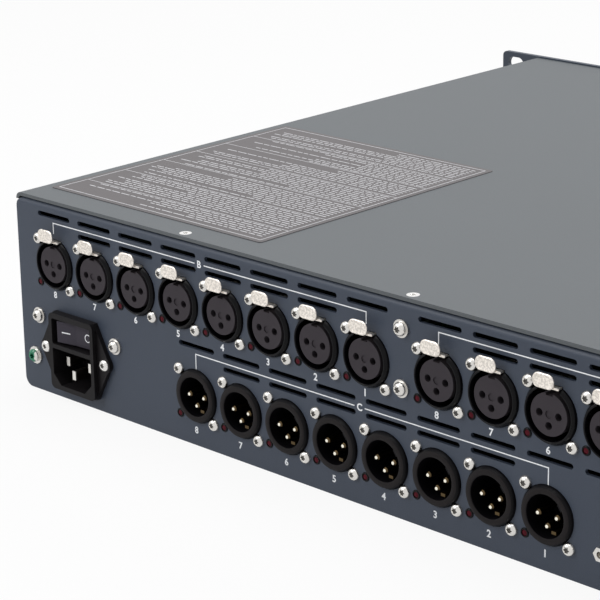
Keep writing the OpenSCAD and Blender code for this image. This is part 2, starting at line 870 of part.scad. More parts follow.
module display_window() {
  color("black") translate([display_x, 0, display_z]) {
    upright(panel_front_y + 0.4, front_y) round_rect(display_w - 0.4, display_h - 0.4, 1.8);
    upright(front_y, front_y + sheet_t) round_rect(display_w + 2, display_h + 2, 1.8);
  }
}

module display_module() {
  color("black")
    block(
      [display_x - display_w / 2 - 4, display_x + display_w / 2 + 4],
      [front_y + sheet_t + 0.2, front_board_y],
      [display_z - display_h / 2 - 3, display_z + display_h / 2 + 3]
    );
}

module front_board() {
  color("darkgreen")
    block(front_board_x, [front_board_y, front_board_y + board_t], front_board_z);
}

module lamp_rod(place) {
  translate([place[0], 0, place[1]]) {
    rod(1.2, panel_front_y, front_board_y);
    translate([0, panel_front_y, 0]) sphere(1.2);
  }
}

module front_lamps() {
  color("green") {
    for (x = front_lamp_x)
      lamp_rod([x, lamp_row_z]);
    lamp_rod([-side_x + 20, rack_mid_z]);
  }
}

module encoder_body() {
  color("silver") translate([knob_x, 0, rack_mid_z]) difference() {
    union() {
      block([-6.2, 6.2], [front_y + sheet_t + 0.4, front_board_y], [-6.6, 6.6]);
      rod(3.45, panel_front_y - 4, front_y + sheet_t + 1);
      translate([0, panel_front_y, 0]) rotate([90, 0, 0]) cylinder(r = 5.6, h = 2, $fn = 6);
    }
    rod(3.05, panel_front_y - 5, front_y + 2);
  }
}

module control_knob() {
  back = panel_front_y - knob_gap;
  front = back - knob_l;
  grooves = 12;
  color("black") translate([knob_x, 0, rack_mid_z]) {
    difference() {
      union() {
        rod(knob_r, front + 1, back);
        taper(knob_r - 1, knob_r, front, front + 1);
      }
      rod(7, front + 6, back + 1);
      for (k = [0:grooves - 1])
        rotate([0, 360 / grooves * k, 0]) translate([knob_r + 0.5, 0, 0]) rod(1.2, front - 1, back - 3);
      translate([0, front, knob_r * 0.6]) cube([1.2, 0.8, knob_r * 0.7], center = true);
    }
    rod(3, front + 5, front_y + 1.5);
  }
}

module button(n) {
  x = button_x[n];
  color("lightgray") translate([x, 0, rack_mid_z]) {
    upright(panel_front_y - button_out, front_y + 0.6) round_rect(button_w, button_h, 1);
    upright(front_y + 0.2, front_y + 1.2) round_rect(button_w + 3, button_h + 3, 1);
    rod(1.6, front_y + 1, front_board_y - button_travel - 0.6);
  }
}

// ---- boards and what stands on them ----

module socket_boards() {
  color("darkgreen") {
    block(
      [input_x(inputs - 1) - housing_w / 2, input_x(0) + housing_w / 2],
      [socket_board_y - board_t, socket_board_y],
      [input_row_z - housing_w / 2, input_row_z + housing_w / 2 + 6]
    );
    block(
      [output_x(bank_size - 1) - housing_w / 2, output_x(0) + housing_w / 2],
      [socket_board_y - board_t, socket_board_y],
      [output_row_z - housing_w / 2, output_row_z + housing_w / 2 + 3]
    );
  }
}

module lying_board(plan) {
  block([plan[0], plan[1]], [plan[2], plan[3]], [board_z, board_z + board_t]);
}

module power_board() {
  color("darkgreen") lying_board(power_plan);
}

module preamp_boards() {
  color("darkgreen")
    for (plan = preamp_plans)
      lying_board(plan);
}

module control_board() {
  color("darkgreen") lying_board(control_plan);
}

module board_pillars() {
  inset = 6;
  color("silver") {
    for (plan = lying_boards, x = [plan[0] + inset, plan[1] - inset], y = [plan[2] + inset, plan[3] - inset])
      translate([x, y, sheet_t]) cylinder(r = 2.5, h = pillar_h);
    for (p = pillar_screws)
      at_rear(p) difference() {
        rod(2.8, -sheet_t - housing_d, -sheet_t);
        rod(shank_r + slip, -8, 0);
      }
  }
}

module heat_sinks() {
  fins = 9;
  top = board_z + board_t;
  long = power_plan[3] - power_plan[2] - 60;
  color("lightgray")
    for (x = [power_plan[0] + 8, power_plan[1] - 26])
      translate([x, power_plan[2] + 20, top]) {
        cube([18, long, 3]);
        for (k = [0:fins - 1])
          translate([k * 2, 0, 0]) cube([1, long, 26]);
      }
}

module power_capacitors() {
  color("midnightblue")
    for (k = [0:3])
      translate([power_plan[0] / 2 + power_plan[1] / 2, power_plan[2] + 24 + k * 20, board_z + board_t])
        cylinder(r = 8, h = 30);
}

module power_transformer() {
  mid_x = power_plan[0] / 2 + power_plan[1] / 2;
  top = board_z + board_t;
  color("peru")
    translate([mid_x - 16, power_plan[3] - 36, top]) {
      cube([32, 26, 6]);
      translate([3, 3, 6]) cube([26, 20, 16]);
      translate([0, 0, 22]) cube([32, 26, 6]);
    }
}

module signal_relays() {
  rows = 2;
  color("white")
    for (plan = preamp_plans, k = [0:bank_size - 1], row = [0:rows - 1])
      translate([
        plan[0] + (plan[1] - plan[0]) * (k + 0.5) / bank_size - 4,
        plan[3] - 40 - row * 30,
        board_z + board_t
      ]) cube([8, 15, 9]);
}

// A flat band that runs from a connector board down to a board that lies on the tray.
module ribbon_band(x, top) {
  bend = 4;
  t = 0.8;
  back = socket_board_y - board_t;
  low = board_z + board_t;
  translate([x, 0, 0]) sideways(30) polygon([
    [back, top], [back - bend, top], [back - bend - t, top - t], [back - bend - t, low + bend],
    [back - 14, low + t], [back - 14, low], [back - 20, low], [back - 20, low + 2 * t],
    [back - 14 - t, low + 2 * t], [back - bend - 2 * t, low + bend + t], [back - bend - 2 * t, top + t / 2],
    [back - bend - t, top + 2 * t], [back, top + 2 * t]
  ]);
}

// A lead from a blade's tail down to the power board.
module mains_lead(x, z) {
  t = 1.8;
  tail = rear_y - 32;
  low = board_z + board_t;
  translate([inlet_x + x, 0, 0]) sideways(t) polygon([
    [tail, z - t / 2], [tail, z + t / 2], [tail - 9, z + t / 2], [tail - 9, low], [tail - 9 + t, low],
    [tail - 9 + t, z - t / 2]
  ]);
}

module inner_cables() {
  color("lightgray") {
    for (x = [input_x(2), input_x(6), input_x(9), input_x(13)])
      ribbon_band(x, input_row_z);
    for (s = [-1, 1])
      mains_lead(s * 7, inlet_z + inlet_cavity_z + 2);
    mains_lead(0, inlet_z + inlet_cavity_z - 2);
  }
}

base_tray();
top_cover();
rear_panel();
front_panel();
front_frame();
rating_plate();
cover_screws();
case_screws();
case_washers();
socket_screws();
inlet_screws();
front_screws();
ground_terminal();
input_shells();
input_inserts();
output_shells();
output_pins();
channel_lamps();
for (n = [0:inputs - 1])
  latch(n);
inlet_body();
inlet_blades();
power_rocker();
multipin_shells();
multipin_inserts();
hex_posts();
network_sockets();
display_window();
display_module();
front_board();
front_lamps();
encoder_body();
control_knob();
for (n = [0:2])
  button(n);
socket_boards();
power_board();
preamp_boards();
control_board();
board_pillars();
heat_sinks();
power_capacitors();
power_transformer();
signal_relays();
inner_cables();
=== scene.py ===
# %% [markdown]
# A sixteen-channel microphone preamp, seen from behind
# -----------------------------------------------------
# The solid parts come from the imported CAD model, which is loaded first and is never moved.
# Blender adds what a drawing leaves out: the finishes, the printed lines and numbers, rounded
# lips, stamped tabs and screw recesses. Meshes are in metres, and a helper that takes millimetres
# says so. +Y points out of the rear panel. The loader's plain materials are cleared away at once.

import json
import math

import bmesh
import bpy
import numpy as np
from mathutils import Matrix, Vector


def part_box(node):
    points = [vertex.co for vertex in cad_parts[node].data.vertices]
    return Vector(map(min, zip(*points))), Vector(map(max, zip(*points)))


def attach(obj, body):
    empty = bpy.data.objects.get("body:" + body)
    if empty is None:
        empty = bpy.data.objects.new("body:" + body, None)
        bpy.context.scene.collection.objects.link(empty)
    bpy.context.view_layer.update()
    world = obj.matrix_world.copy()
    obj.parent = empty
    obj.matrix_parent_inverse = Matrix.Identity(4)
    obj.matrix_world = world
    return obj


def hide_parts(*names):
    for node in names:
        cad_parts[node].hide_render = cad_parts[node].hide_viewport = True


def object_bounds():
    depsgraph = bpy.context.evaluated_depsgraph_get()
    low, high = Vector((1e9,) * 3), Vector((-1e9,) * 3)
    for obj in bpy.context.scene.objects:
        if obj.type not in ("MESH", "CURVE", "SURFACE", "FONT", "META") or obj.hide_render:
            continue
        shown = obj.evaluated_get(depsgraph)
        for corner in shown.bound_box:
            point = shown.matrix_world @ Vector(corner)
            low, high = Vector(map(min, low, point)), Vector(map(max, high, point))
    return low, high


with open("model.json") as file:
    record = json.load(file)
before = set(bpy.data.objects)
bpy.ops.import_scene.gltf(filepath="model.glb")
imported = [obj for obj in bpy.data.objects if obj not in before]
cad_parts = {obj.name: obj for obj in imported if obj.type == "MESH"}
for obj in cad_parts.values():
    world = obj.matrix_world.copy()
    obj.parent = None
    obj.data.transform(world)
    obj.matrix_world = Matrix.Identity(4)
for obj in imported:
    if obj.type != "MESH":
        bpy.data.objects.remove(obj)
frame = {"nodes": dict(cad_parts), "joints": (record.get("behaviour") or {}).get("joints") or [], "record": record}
cad_low, cad_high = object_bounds()
record = frame["record"]
mounts = {m["name"]: np.array(m["pos_m"]) for m in record["mounts"]}
slot_of = {row["node"]: row["material_slot"] for row in record["subparts"]}
MM = 0.001
for plain in list(bpy.data.materials):
    bpy.data.materials.remove(plain)
print(len(frame["nodes"]), "nodes,", len(mounts), "mounts")

# %% [markdown]
# The camera
# ----------
# The unit is looked at from behind, from a little above and to one side. A long lens keeps the
# edges of the case nearly parallel. The camera's axes are written as a matrix: right, up and
# backwards are its three columns, which avoids angles that are hard to read.

# %% Camera
EYE = Vector((-0.50673, 0.75059, 0.33745))
LOOK = Vector((0.663156, -0.680486, -0.311711)).normalized()
UP = Vector((0.205644, -0.234781, 0.950046)).normalized()
SENSOR = 36.0
LENS = 133.88
camera_data = bpy.data.cameras.new("camera")
camera_data.lens = LENS
camera_data.sensor_width = SENSOR
camera_data.clip_start = 10 * MM
camera = bpy.data.objects.new("camera", camera_data)
right = LOOK.cross(UP)
axes = Matrix((right, right.cross(LOOK), -LOOK)).transposed()
camera.matrix_world = Matrix.Translation(EYE) @ axes.to_4x4()
bpy.context.scene.collection.objects.link(camera)
bpy.context.scene.camera = camera
bpy.context.scene.view_settings.view_transform = "Standard"
print("camera at", tuple(round(v, 3) for v in EYE))

# %% [markdown]
# Sums on sockets
# ---------------
# A material is a graph of nodes. Writing the graph as sums keeps it readable, so a small class
# wraps a socket: adding or multiplying two of them puts one Math node between them. A mask is
# then one line, such as the places above a limit or below it.

# %% Sums that become Math nodes
class Value:
    """A number that varies over a surface. Each sum on it adds one Math node."""

    def __init__(self, tree, socket):
        self.tree, self.socket = tree, socket

    def math(self, operation, *values, clamp=False):
        """The Math node's result for the values, taken in order."""
        node = self.tree.nodes.new("ShaderNodeMath")
        node.operation = operation
        node.use_clamp = clamp
        for place, value in zip(node.inputs, values):
            if isinstance(value, Value):
                self.tree.links.new(value.socket, place)
            else:
                place.default_value = value
        return Value(self.tree, node.outputs[0])

    def __add__(self, other):
        return self.math("ADD", self, other)

    def __sub__(self, other):
        return self.math("SUBTRACT", self, other)

    def __mul__(self, other):
        return self.math("MULTIPLY", self, other)

    def __rsub__(self, other):
        return self.math("SUBTRACT", other, self)

    def above(self, limit, soft):
        """0 below the limit, 1 above it, with a straight ramp of width soft between them."""
        return self.math("MULTIPLY", self - (limit - soft / 2), 1 / soft, clamp=True)

    def below(self, limit, soft):
        """1 below the limit and 0 above it, with a straight ramp between them."""
        return 1 - self.above(limit, soft)

    def size(self):
        """The number without its sign."""
        return self.math("ABSOLUTE", self)

    def repeat(self, step):
        """The number's distance past the last whole multiple of step."""
        return self.math("FLOORED_MODULO", self, step)


print("a value can be added, multiplied and compared")

# %% [markdown]
# One class for a finish
# ----------------------
# Every finish here is one Principled shader with a few nodes in front of it. The class makes the
# material, adds any other node, and links values to sockets by name. It also has the few patterns
# that the finishes share: clouds, cells, stretched grain, a mix of two colours and a bump.

# %% The finish class
class Finish:
    """One material: a Principled shader and the nodes that feed it."""

    def __init__(self, name, **fixed):
        self.material = bpy.data.materials.new(name)
        self.material.use_nodes = True
        self.tree = self.material.node_tree
        self.shader = self.tree.nodes["Principled BSDF"]
        self.point = self.add("ShaderNodeTexCoord").outputs["Object"]
        for name_of_socket, value in fixed.items():
            self.set(name_of_socket.replace("_", " "), value)

    def add(self, kind, settings=None, sockets=None):
        """A node of that kind: its settings first, then values or links for its sockets."""
        node = self.tree.nodes.new(kind)
        for name, value in (settings or {}).items():
            setattr(node, name, value)
        for name, value in (sockets or {}).items():
            self.feed(node.inputs[name], value)
        return node

    def feed(self, place, value):
        """Links a value to a socket, or writes a number or colour into it."""
        if isinstance(value, Value):
            value = value.socket
        if isinstance(value, bpy.types.NodeSocket):
            self.tree.links.new(value, place)
        elif isinstance(value, (tuple, list)) and len(value) == 3 and place.type == "RGBA":
            place.default_value = (*value, 1)
        else:
            place.default_value = value

    def set(self, name, value):
        """Gives the shader's socket of that name a value or a link."""
        self.feed(self.shader.inputs[name], value)

    def axis(self, which):
        """The place on the object along X, Y or Z, in metres."""
        split = self.add("ShaderNodeSeparateXYZ", sockets={"Vector": self.point})
        return Value(self.tree, split.outputs[which])

    def stretched(self, scale):
        """The object's coordinates multiplied along each axis, for grain that runs one way."""
        mapping = self.add("ShaderNodeMapping", sockets={"Vector": self.point, "Scale": scale})
        return mapping.outputs["Vector"]

    def noise(self, scale, detail=2.0, point=None):
        """Cloudy noise from 0 to 1 with that many blotches to a metre."""
        sockets = {"Vector": point or self.point, "Scale": scale, "Detail": detail}
        return Value(self.tree, self.add("ShaderNodeTexNoise", sockets=sockets).outputs["Fac"])

    def cells(self, scale):
        """Cell noise with that many cells to a metre. Each cell has a random colour of its own."""
        sockets = {"Vector": self.point, "Scale": scale}
        return Value(self.tree, self.add("ShaderNodeTexVoronoi", None, sockets).outputs["Color"])

    def mix(self, factor, low, high):
        """The colour low where the factor is 0 and high where it is 1. A Mix node has a set of
        sockets for each kind of value: number 6 and 7 take its colours, and output 2 gives one."""
        node = self.add("ShaderNodeMix", {"data_type": "RGBA"})
        for place, value in zip((0, 6, 7), (factor, low, high)):
            self.feed(node.inputs[place], value)
        return node.outputs[2]

    def base(self):
        """The output that feeds the base colour now, for a pattern that goes over it."""
        return self.shader.inputs["Base Color"].links[0].from_socket

    def bump(self, height, depth):
        """Tilts the shading as if the surface rose by depth metres where height is 1."""
        sockets = {"Height": height, "Distance": depth, "Strength": 1.0}
        self.set("Normal", self.add("ShaderNodeBump", sockets=sockets).outputs["Normal"])


def shade(colour, factor):
    """A colour made darker or lighter by a factor."""
    return tuple(min(1.0, part * factor) for part in colour)


finishes = {}
print("the finish class is ready")

# %% [markdown]
# Painted sheet
# -------------
# The case is steel with a fine powder coat. Powder melts into a skin that is even from afar and
# pebbled close up. Two sizes of noise make it: small pebbles tilt the shading, and slow clouds
# vary the gloss and the colour by less than a tenth. The same recipe serves plastics that come
# out of a spark-eroded mould, with other numbers. The paint mirrors little light and these black
# plastics mirror the least, so both take a lower specular level.

# %% Pebbled coats and moulded plastics
BLOTCHES = 14.0
SPECK, SPECK_SHARE = 0.14, 0.35


def pebbled(name, colour, rough, pebbles, depth, cloud=0.12, spread=0.08, **fixed):
    """Small pebbles in the shading, slow clouds in colour and gloss. The colour is the clouds'
    tone with a share of the pebbles' own tone in it."""
    finish = Finish(name, **fixed)
    clouds = finish.noise(BLOTCHES, 3.0)
    grain = finish.noise(pebbles, 2.0)
    tone = finish.mix(clouds, shade(colour, 1 - cloud), shade(colour, 1 + cloud))
    speck = finish.mix(grain, shade(colour, 1 - SPECK), shade(colour, 1 + SPECK))
    finish.set("Base Color", finish.mix(SPECK_SHARE, tone, speck))
    finish.set("Roughness", clouds * spread + (rough - spread / 2))
    finish.bump(grain, depth)
    finishes[name] = finish


DIM = {"Specular_IOR_Level": 0.11}
SATIN = {"Specular_IOR_Level": 0.3}
# The rear panel and the cover wear one paint. The cover's colour is lighter than the rear panel's, and that
# difference is painted light for a top that faces the lamps.
pebbled("rear_coat", (0.046, 0.058, 0.083), 0.46, 2100.0, 0.00006, **SATIN)
pebbled("cover_coat", (0.098, 0.108, 0.116), 0.5, 2100.0, 0.00006, **SATIN)
pebbled("front_coat", (0.044, 0.056, 0.078), 0.42, 2600.0, 0.00004, **SATIN)
pebbled("plate_film", (0.082, 0.074, 0.077), 0.42, 1500.0, 0.00001, cloud=0.05, **SATIN)
pebbled("screw_black", (0.018, 0.018, 0.019), 0.35, 3000.0, 0.00002)
pebbled("shell_gloss", (0.003, 0.003, 0.004), 0.2, 900.0, 0.000004, **DIM)
pebbled("shell_matte", (0.003, 0.0027, 0.0036), 0.4, 2600.0, 0.00002, **DIM)
pebbled("face_matte", (0.012, 0.010, 0.0105), 0.5, 2600.0, 0.00003, **DIM)
pebbled("insert_grey", (0.045, 0.039, 0.045), 0.6, 2600.0, 0.00003, **DIM)
pebbled("insert_black", (0.012, 0.012, 0.014), 0.5, 2600.0, 0.00002, **DIM)
pebbled("inlet_black", (0.010, 0.009, 0.010), 0.4, 2200.0, 0.00003, **DIM)
pebbled("rocker_black", (0.046, 0.041, 0.054), 0.4, 2600.0, 0.00002, **DIM)
pebbled("recess_dark", (0.09, 0.086, 0.08), 0.5, 1500.0, 0.00001, **DIM)
pebbled("module_black", (0.02, 0.02, 0.02), 0.6, 1800.0, 0.00002)
pebbled("knob_black", (0.022, 0.022, 0.023), 0.45, 2600.0, 0.00003)
pebbled("button_grey", (0.30, 0.30, 0.31), 0.45, 2600.0, 0.00002)
pebbled("relay_white", (0.72, 0.72, 0.69), 0.35, 1500.0, 0.00001)
pebbled("capacitor_sleeve", (0.02, 0.028, 0.09), 0.25, 900.0, 0.00001, Coat_Weight=0.3)
pebbled("print_white", (0.88, 0.90, 0.93), 0.5, 3500.0, 0.00001, cloud=0.05)
pebbled("print_grey", (0.52, 0.52, 0.54), 0.5, 3500.0, 0.00001, cloud=0.05)
pebbled("window_smoke", (0.008, 0.008, 0.01), 0.07, 300.0, 0.000001, Coat_Weight=0.5)
pebbled("lamp_red", (0.075, 0.001, 0.007), 0.3, 900.0, 0.00001, **DIM)
pebbled("lamp_green", (0.03, 0.30, 0.05), 0.2, 900.0, 0.00001, Coat_Weight=0.6)
print(len(finishes), "pebbled finishes")

# %% [markdown]
# Metals
# ------
# Screws are nickel plated and tumbled, so they are bright with faint pits. Stamped steel and
# drawn aluminium keep lines that run one way. A stretched noise makes such lines: it is squeezed
# across the grain and drawn out along it. The latches have a coarse, grainy skin, so their specks
# have a high contrast. Zinc freezes into flat crystals, which cell noise gives.

# %% Metals
SPOT_DARK, SPOT_BRIGHT = 0.8, 1.12


def metal(name, colour, rough, scale, pits, depth, spread=0.1, contrast=1.0):
    """Bright metal whose grain is noise stretched by scale, with pits of that many to a metre.
    The specks' ramp is steeper with more contrast."""
    finish = Finish(name, Metallic=1.0)
    lines = finish.noise(1.0, 2.0, finish.stretched(scale))
    specks = finish.noise(pits, 3.0)
    spots = specks.above(0.5, 1 / contrast)
    dark, bright = shade(colour, SPOT_DARK), shade(colour, SPOT_BRIGHT)
    finish.set("Base Color", finish.mix(spots, dark, bright))
    finish.set("Roughness", lines * spread + specks * spread + (rough - spread))
    finish.bump(lines * 0.5 + specks * 0.5, depth)
    finishes[name] = finish
    return finish


NICKEL = (0.68, 0.66, 0.63)
metal("screw_nickel", NICKEL, 0.24, (600, 600, 600), 1200.0, 0.00001)
metal("cover_screw_nickel", (0.96, 0.94, 0.91), 0.2, (600, 600, 600), 1200.0, 0.00001)
metal("washer_nickel", shade(NICKEL, 0.95), 0.27, (500, 500, 500), 1500.0, 0.00001)
metal("inlet_screw_steel", (0.74, 0.73, 0.71), 0.26, (600, 600, 600), 1200.0, 0.00001)
# The blades' dark colour is painted shade from the dark inlet around them.
metal("blade_nickel", (0.16, 0.14, 0.12), 0.34, (1500, 120, 1500), 1500.0, 0.00001)
LATCH = {"spread": 0.18, "contrast": 5.0}
metal("latch_nickel", (0.78, 0.73, 0.67), 0.40, (1400, 1400, 1400), 1300.0, 0.00008, **LATCH)
# The pins' dark brown is painted shade from the dark cup around them.
metal("pin_brass", (0.10, 0.07, 0.035), 0.3, (1500, 100, 1500), 1200.0, 0.000008)
metal("shell_steel", (0.62, 0.61, 0.59), 0.34, (200, 1600, 1600), 1500.0, 0.00001)
metal("encoder_metal", (0.62, 0.61, 0.58), 0.32, (1500, 200, 1500), 1500.0, 0.00001)
metal("fin_aluminium", (0.72, 0.72, 0.73), 0.38, (1600, 90, 1600), 900.0, 0.00001)

zinc = Finish("zinc_sheet", Metallic=0.9, Roughness=0.42)
zinc.set("Base Color", zinc.mix(zinc.cells(110.0), (0.42, 0.43, 0.45), (0.62, 0.63, 0.65)))
finishes["zinc_sheet"] = zinc
print(len(finishes), "finishes in all")

# %% [markdown]
# Ground screw
# ------------
# The ground screw is plated, and one side of its head is brushed with green paint. The pattern
# has a place of its own, so it is a mask made of sums on the object's own coordinates: it stays
# put when the camera or the part moves. A little noise makes the edge of the brush mark uneven.

# %% Half green ground screw
ground_x, ground_y = (float(part) for part in mounts["ground_screw"][:2])
BRUSH_WANDER = 1.2 * MM
painted = metal("ground_metal", NICKEL, 0.26, (600, 600, 600), 1300.0, 0.00001)
side = painted.axis("X") - ground_x
brush = painted.noise(900.0, 2.0) * BRUSH_WANDER - BRUSH_WANDER / 2
on_head = painted.axis("Y").above(ground_y - 0.8 * MM, 0.2 * MM)
green = (side + brush).above(-1.6 * MM, 0.3 * MM) * on_head
painted.set("Base Color", painted.mix(green, painted.base(), (0.008, 0.2, 0.1)))
painted.set("Metallic", 1 - green)
print("ground screw at", round(ground_x, 4))

# %% [markdown]
# Shaded contacts
# ---------------
# Deep in a dark socket the contacts lie in shade, and only their ends catch the light. So the pins
# and blades take a dark colour, which is painted shade, and beyond a height near the tip their own
# bright metal colour takes over. The two outer blades of the inlet are shorter than the middle one,
# so their limit is lower by a step that depends on the distance from the inlet's middle.

# %% Painted shade on pins and blades, below their bright ends
SHADE_EDGE = 0.05 * MM


def worn_tips(name, tip_y, colour):
    """Paints shade below tip_y: there the finish keeps its dark colour, and the colour takes over where the height
    along Y is beyond tip_y.
    """
    finish = finishes[name]
    # Below the tip the finish keeps its dark colour, which is painted shade.
    lit_tip = (finish.axis("Y") - tip_y).above(0.0, SHADE_EDGE)
    finish.set("Base Color", finish.mix(lit_tip, finish.base(), colour))


PIN_TIP, BLADE_TIP, BLADE_STEP = 0.08 * MM, 0.6 * MM, 3 * MM
pin_top = float(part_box("output_pins")[1].y)
worn_tips("pin_brass", pin_top - PIN_TIP, (0.92, 0.88, 0.76))

blade_low, blade_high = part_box("inlet_blades")
blade_x = float((blade_low.x + blade_high.x) / 2)
outer = (finishes["blade_nickel"].axis("X") - blade_x).size().above(3 * MM, 0.2 * MM)
blade_limit = outer * -BLADE_STEP + (float(blade_high.y) - BLADE_TIP)
worn_tips("blade_nickel", blade_limit, (0.72, 0.70, 0.66))
print("bright ends from", round(pin_top - PIN_TIP, 5), "on the pins")

# %% [markdown]
# Boards, tape and ribbon cable
# -----------------------------
# A circuit board shows copper tracks under its green lacquer. The transformer wears bands of
# tape, and a ribbon cable is a row of round wires. All three repeat at a fixed step, so each mask
# is the distance from the middle of the step it lies in.

# %% Patterns that repeat
def stripes(place, step):
    """The distance from the middle of the step that the place falls in."""
    return (place.repeat(step) - step / 2).size()


board = Finish("board_green", Coat_Weight=0.3)
across = board.axis("X") + board.noise(40.0, 0.0) * (4 * MM)
track = stripes(across, 2.4 * MM).below(0.4 * MM, 0.1 * MM)
areas = board.noise(30.0, 0.0).above(0.5, 0.02)
board.set("Base Color", board.mix(track * areas, (0.012, 0.085, 0.035), (0.03, 0.16, 0.06)))
board.set("Roughness", board.noise(60.0) * 0.1 + 0.28)
board.bump(track * areas, 0.03 * MM)

wrap = Finish("transformer_wrap")
band = stripes(wrap.axis("Z"), 6 * MM).below(0.1 * MM, 0.1 * MM)
wrap.set("Base Color", wrap.mix(band, (0.55, 0.36, 0.05), (0.30, 0.18, 0.02)))
wrap.set("Roughness", wrap.noise(200.0) * 0.1 + 0.3)
wrap.bump(1 - band, 0.05 * MM)

ribbon = Finish("cable_grey", Roughness=0.5)
# The grooves between the wires are darker, which is painted shade.
shaded_groove = stripes(ribbon.axis("X"), 1.27 * MM).above(0.45 * MM, 0.3 * MM)
ribbon.set("Base Color", ribbon.mix(shaded_groove, (0.36, 0.36, 0.38), (0.20, 0.20, 0.21)))
ribbon.bump(1 - shaded_groove, 0.3 * MM)

for finish in (board, wrap, ribbon):
    finishes[finish.material.name] = finish
print(len(finishes), "finishes with the patterned ones")

# %% [markdown]
# Finishes on the CAD parts
# -------------------------
# The record names a material slot for each CAD node. Putting a finish on a node only fills its
# material slot: the mesh stays as it was packed. Two nodes have a finish of their own. The ground
# screw takes the half green metal, and the cover's screws take a brighter nickel than the rest.

# %% Dress the CAD nodes
OWN_FINISH = {"ground_terminal": "ground_metal", "cover_screws": "cover_screw_nickel"}
for node_name, node in frame["nodes"].items():
    finish = finishes[OWN_FINISH.get(node_name, slot_of[node_name])]
    node.data.materials.clear()
    node.data.materials.append(finish.material)
print("dressed", len(frame["nodes"]), "nodes")

# %% [markdown]
# Shapes from rings
# -----------------
# Nearly every small part here is a stack of closed rings: a screw head, a stamped tab, a lip.
# With the rings in one array, the faces between them follow from counting, and each end is
# closed by a fan around its middle. A shape with a hole has no ends, so its last ring is joined
# to its first. A shape is kept as its points and its faces until it becomes a mesh.

# %% Faces from rings
def skin(rings):
    """Joins each ring to the next with four-cornered faces, and closes both ends with fans."""
    rings = np.asarray(rings, float)
    rows, columns = rings.shape[:2]
    points = np.vstack((rings.reshape(-1, 3), rings[0].mean(0), rings[-1].mean(0)))
    near = np.arange(rows * columns).reshape(rows, columns)
    far = np.roll(near, -1, axis=1)
    quads = np.stack((near[:-1], far[:-1], far[1:], near[1:]), -1).reshape(-1, 4)
    start, end = rows * columns, rows * columns + 1
    first = np.stack((far[0], near[0], np.full(columns, start)), -1)
    last = np.stack((near[-1], far[-1], np.full(columns, end)), -1)
    return points, [quads, np.vstack((first, last))]


def ribbon_loop(rings):
    """Joins each ring to the next and the last to the first, for a shape with a hole."""
    rings = np.asarray(rings, float)
    rows, columns = rings.shape[:2]
    near = np.arange(rows * columns).reshape(rows, columns)
    across = np.roll(near, -1, axis=1)
    onward, both = np.roll(near, -1, axis=0), np.roll(across, -1, axis=0)
    quads = np.stack((near, across, both, onward), -1).reshape(-1, 4)
    return rings.reshape(-1, 3), [quads]


def turn(count, start=0.0, end=2 * math.pi, closed=True):
    """Angles from start to end as an array. A closed turn leaves out its last angle."""
    return np.linspace(start, end, count, endpoint=not closed)


def at_rear(x, height, z):
    """Points whose height stands out of the rear panel along +Y."""
    return np.stack(np.broadcast_arrays(x, height, z), -1)


print("a skin of two square rings has", len(skin(np.zeros((2, 4, 3)))[0]), "points")

# %% [markdown]
# Copies, groups and finished pieces
# ----------------------------------
# A row of equal parts could be linked objects, but a piece of its own for each digit or screw
# would be hard to keep track of. Copies are instead the same array added to many places, and
# several shapes become one by numbering the faces on. Only then is a mesh made. Its faces are
# turned outwards, its edges are shaded smooth up to an angle, and it rides on a body of the part.

# %% Copies, groups and pieces
def copies(shape, places):
    """The shape's points plus each place in turn, with its faces numbered on from copy to copy."""
    points, faces = shape
    places = np.asarray(places, float).reshape(-1, 1, 3)
    shift = (np.arange(len(places)) * len(points)).reshape(-1, 1, 1)
    return (places + points).reshape(-1, 3), [
        (shift + block).reshape(-1, block.shape[1]) for block in faces
    ]


def together(*shapes):
    """Several shapes as one, with faces numbered on from shape to shape."""
    points, faces, count = [], [], 0
    for shape_points, shape_faces in shapes:
        points.append(shape_points)
        faces += [block + count for block in shape_faces]
        count += len(shape_points)
    return np.vstack(points), faces


SHARP_FROM = math.radians(40)


def piece(name, shape, finish, body="case", stands_for=()):
    """Makes the mesh, turns its faces outwards, and lets it ride on a body."""
    points, faces = shape
    mesh = bpy.data.meshes.new(name)
    mesh.from_pydata(points.tolist(), [], [f for block in faces for f in block.tolist()])
    work = bmesh.new()
    work.from_mesh(mesh)
    bmesh.ops.recalc_face_normals(work, faces=work.faces)
    work.to_mesh(mesh)
    work.free()
    mesh.materials.append(finishes[finish].material)
    mesh.shade_smooth()
    mesh.set_sharp_from_angle(angle=SHARP_FROM)
    thing = bpy.data.objects.new(name, mesh)
    bpy.context.scene.collection.objects.link(thing)
    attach(thing, body)
    if stands_for:
        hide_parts(*stands_for)


def laid(shape, surface):
    """Moves a flat shape's points (u, v, height) to where the surface puts them."""
    points, faces = shape
    return np.stack(surface(*points.T), -1), faces


REAR = float(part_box("rear_panel")[1].y)
inputs = np.array([place for name, place in mounts.items() if name.startswith("input_")])
outputs = np.array([place for name, place in mounts.items() if name.startswith("output_")])
inputs[:, 1] = outputs[:, 1] = REAR
sockets = np.vstack((inputs, outputs))
print(len(inputs), "inputs and", len(outputs), "outputs")

# %% [markdown]
# Where the small parts sit
# -------------------------
# One CAD node may hold many equal solids, such as all the socket screws. Their places are read
# from the node itself. Triangles that share a point belong to the same solid, so each point
# takes the lowest label of its triangles again and again, until no label changes. Points count
# as shared when they agree to a thousandth of a millimetre.

# %% Find the solids of a node
def read_mesh(mesh):
    """The mesh's points, and its triangles as rows of three point numbers."""
    points = np.empty(len(mesh.vertices) * 3)
    mesh.vertices.foreach_get("co", points)
    mesh.calc_loop_triangles()
    corners = np.empty(len(mesh.loop_triangles) * 3, int)
    mesh.loop_triangles.foreach_get("vertices", corners)
    return points.reshape(-1, 3), corners.reshape(-1, 3)


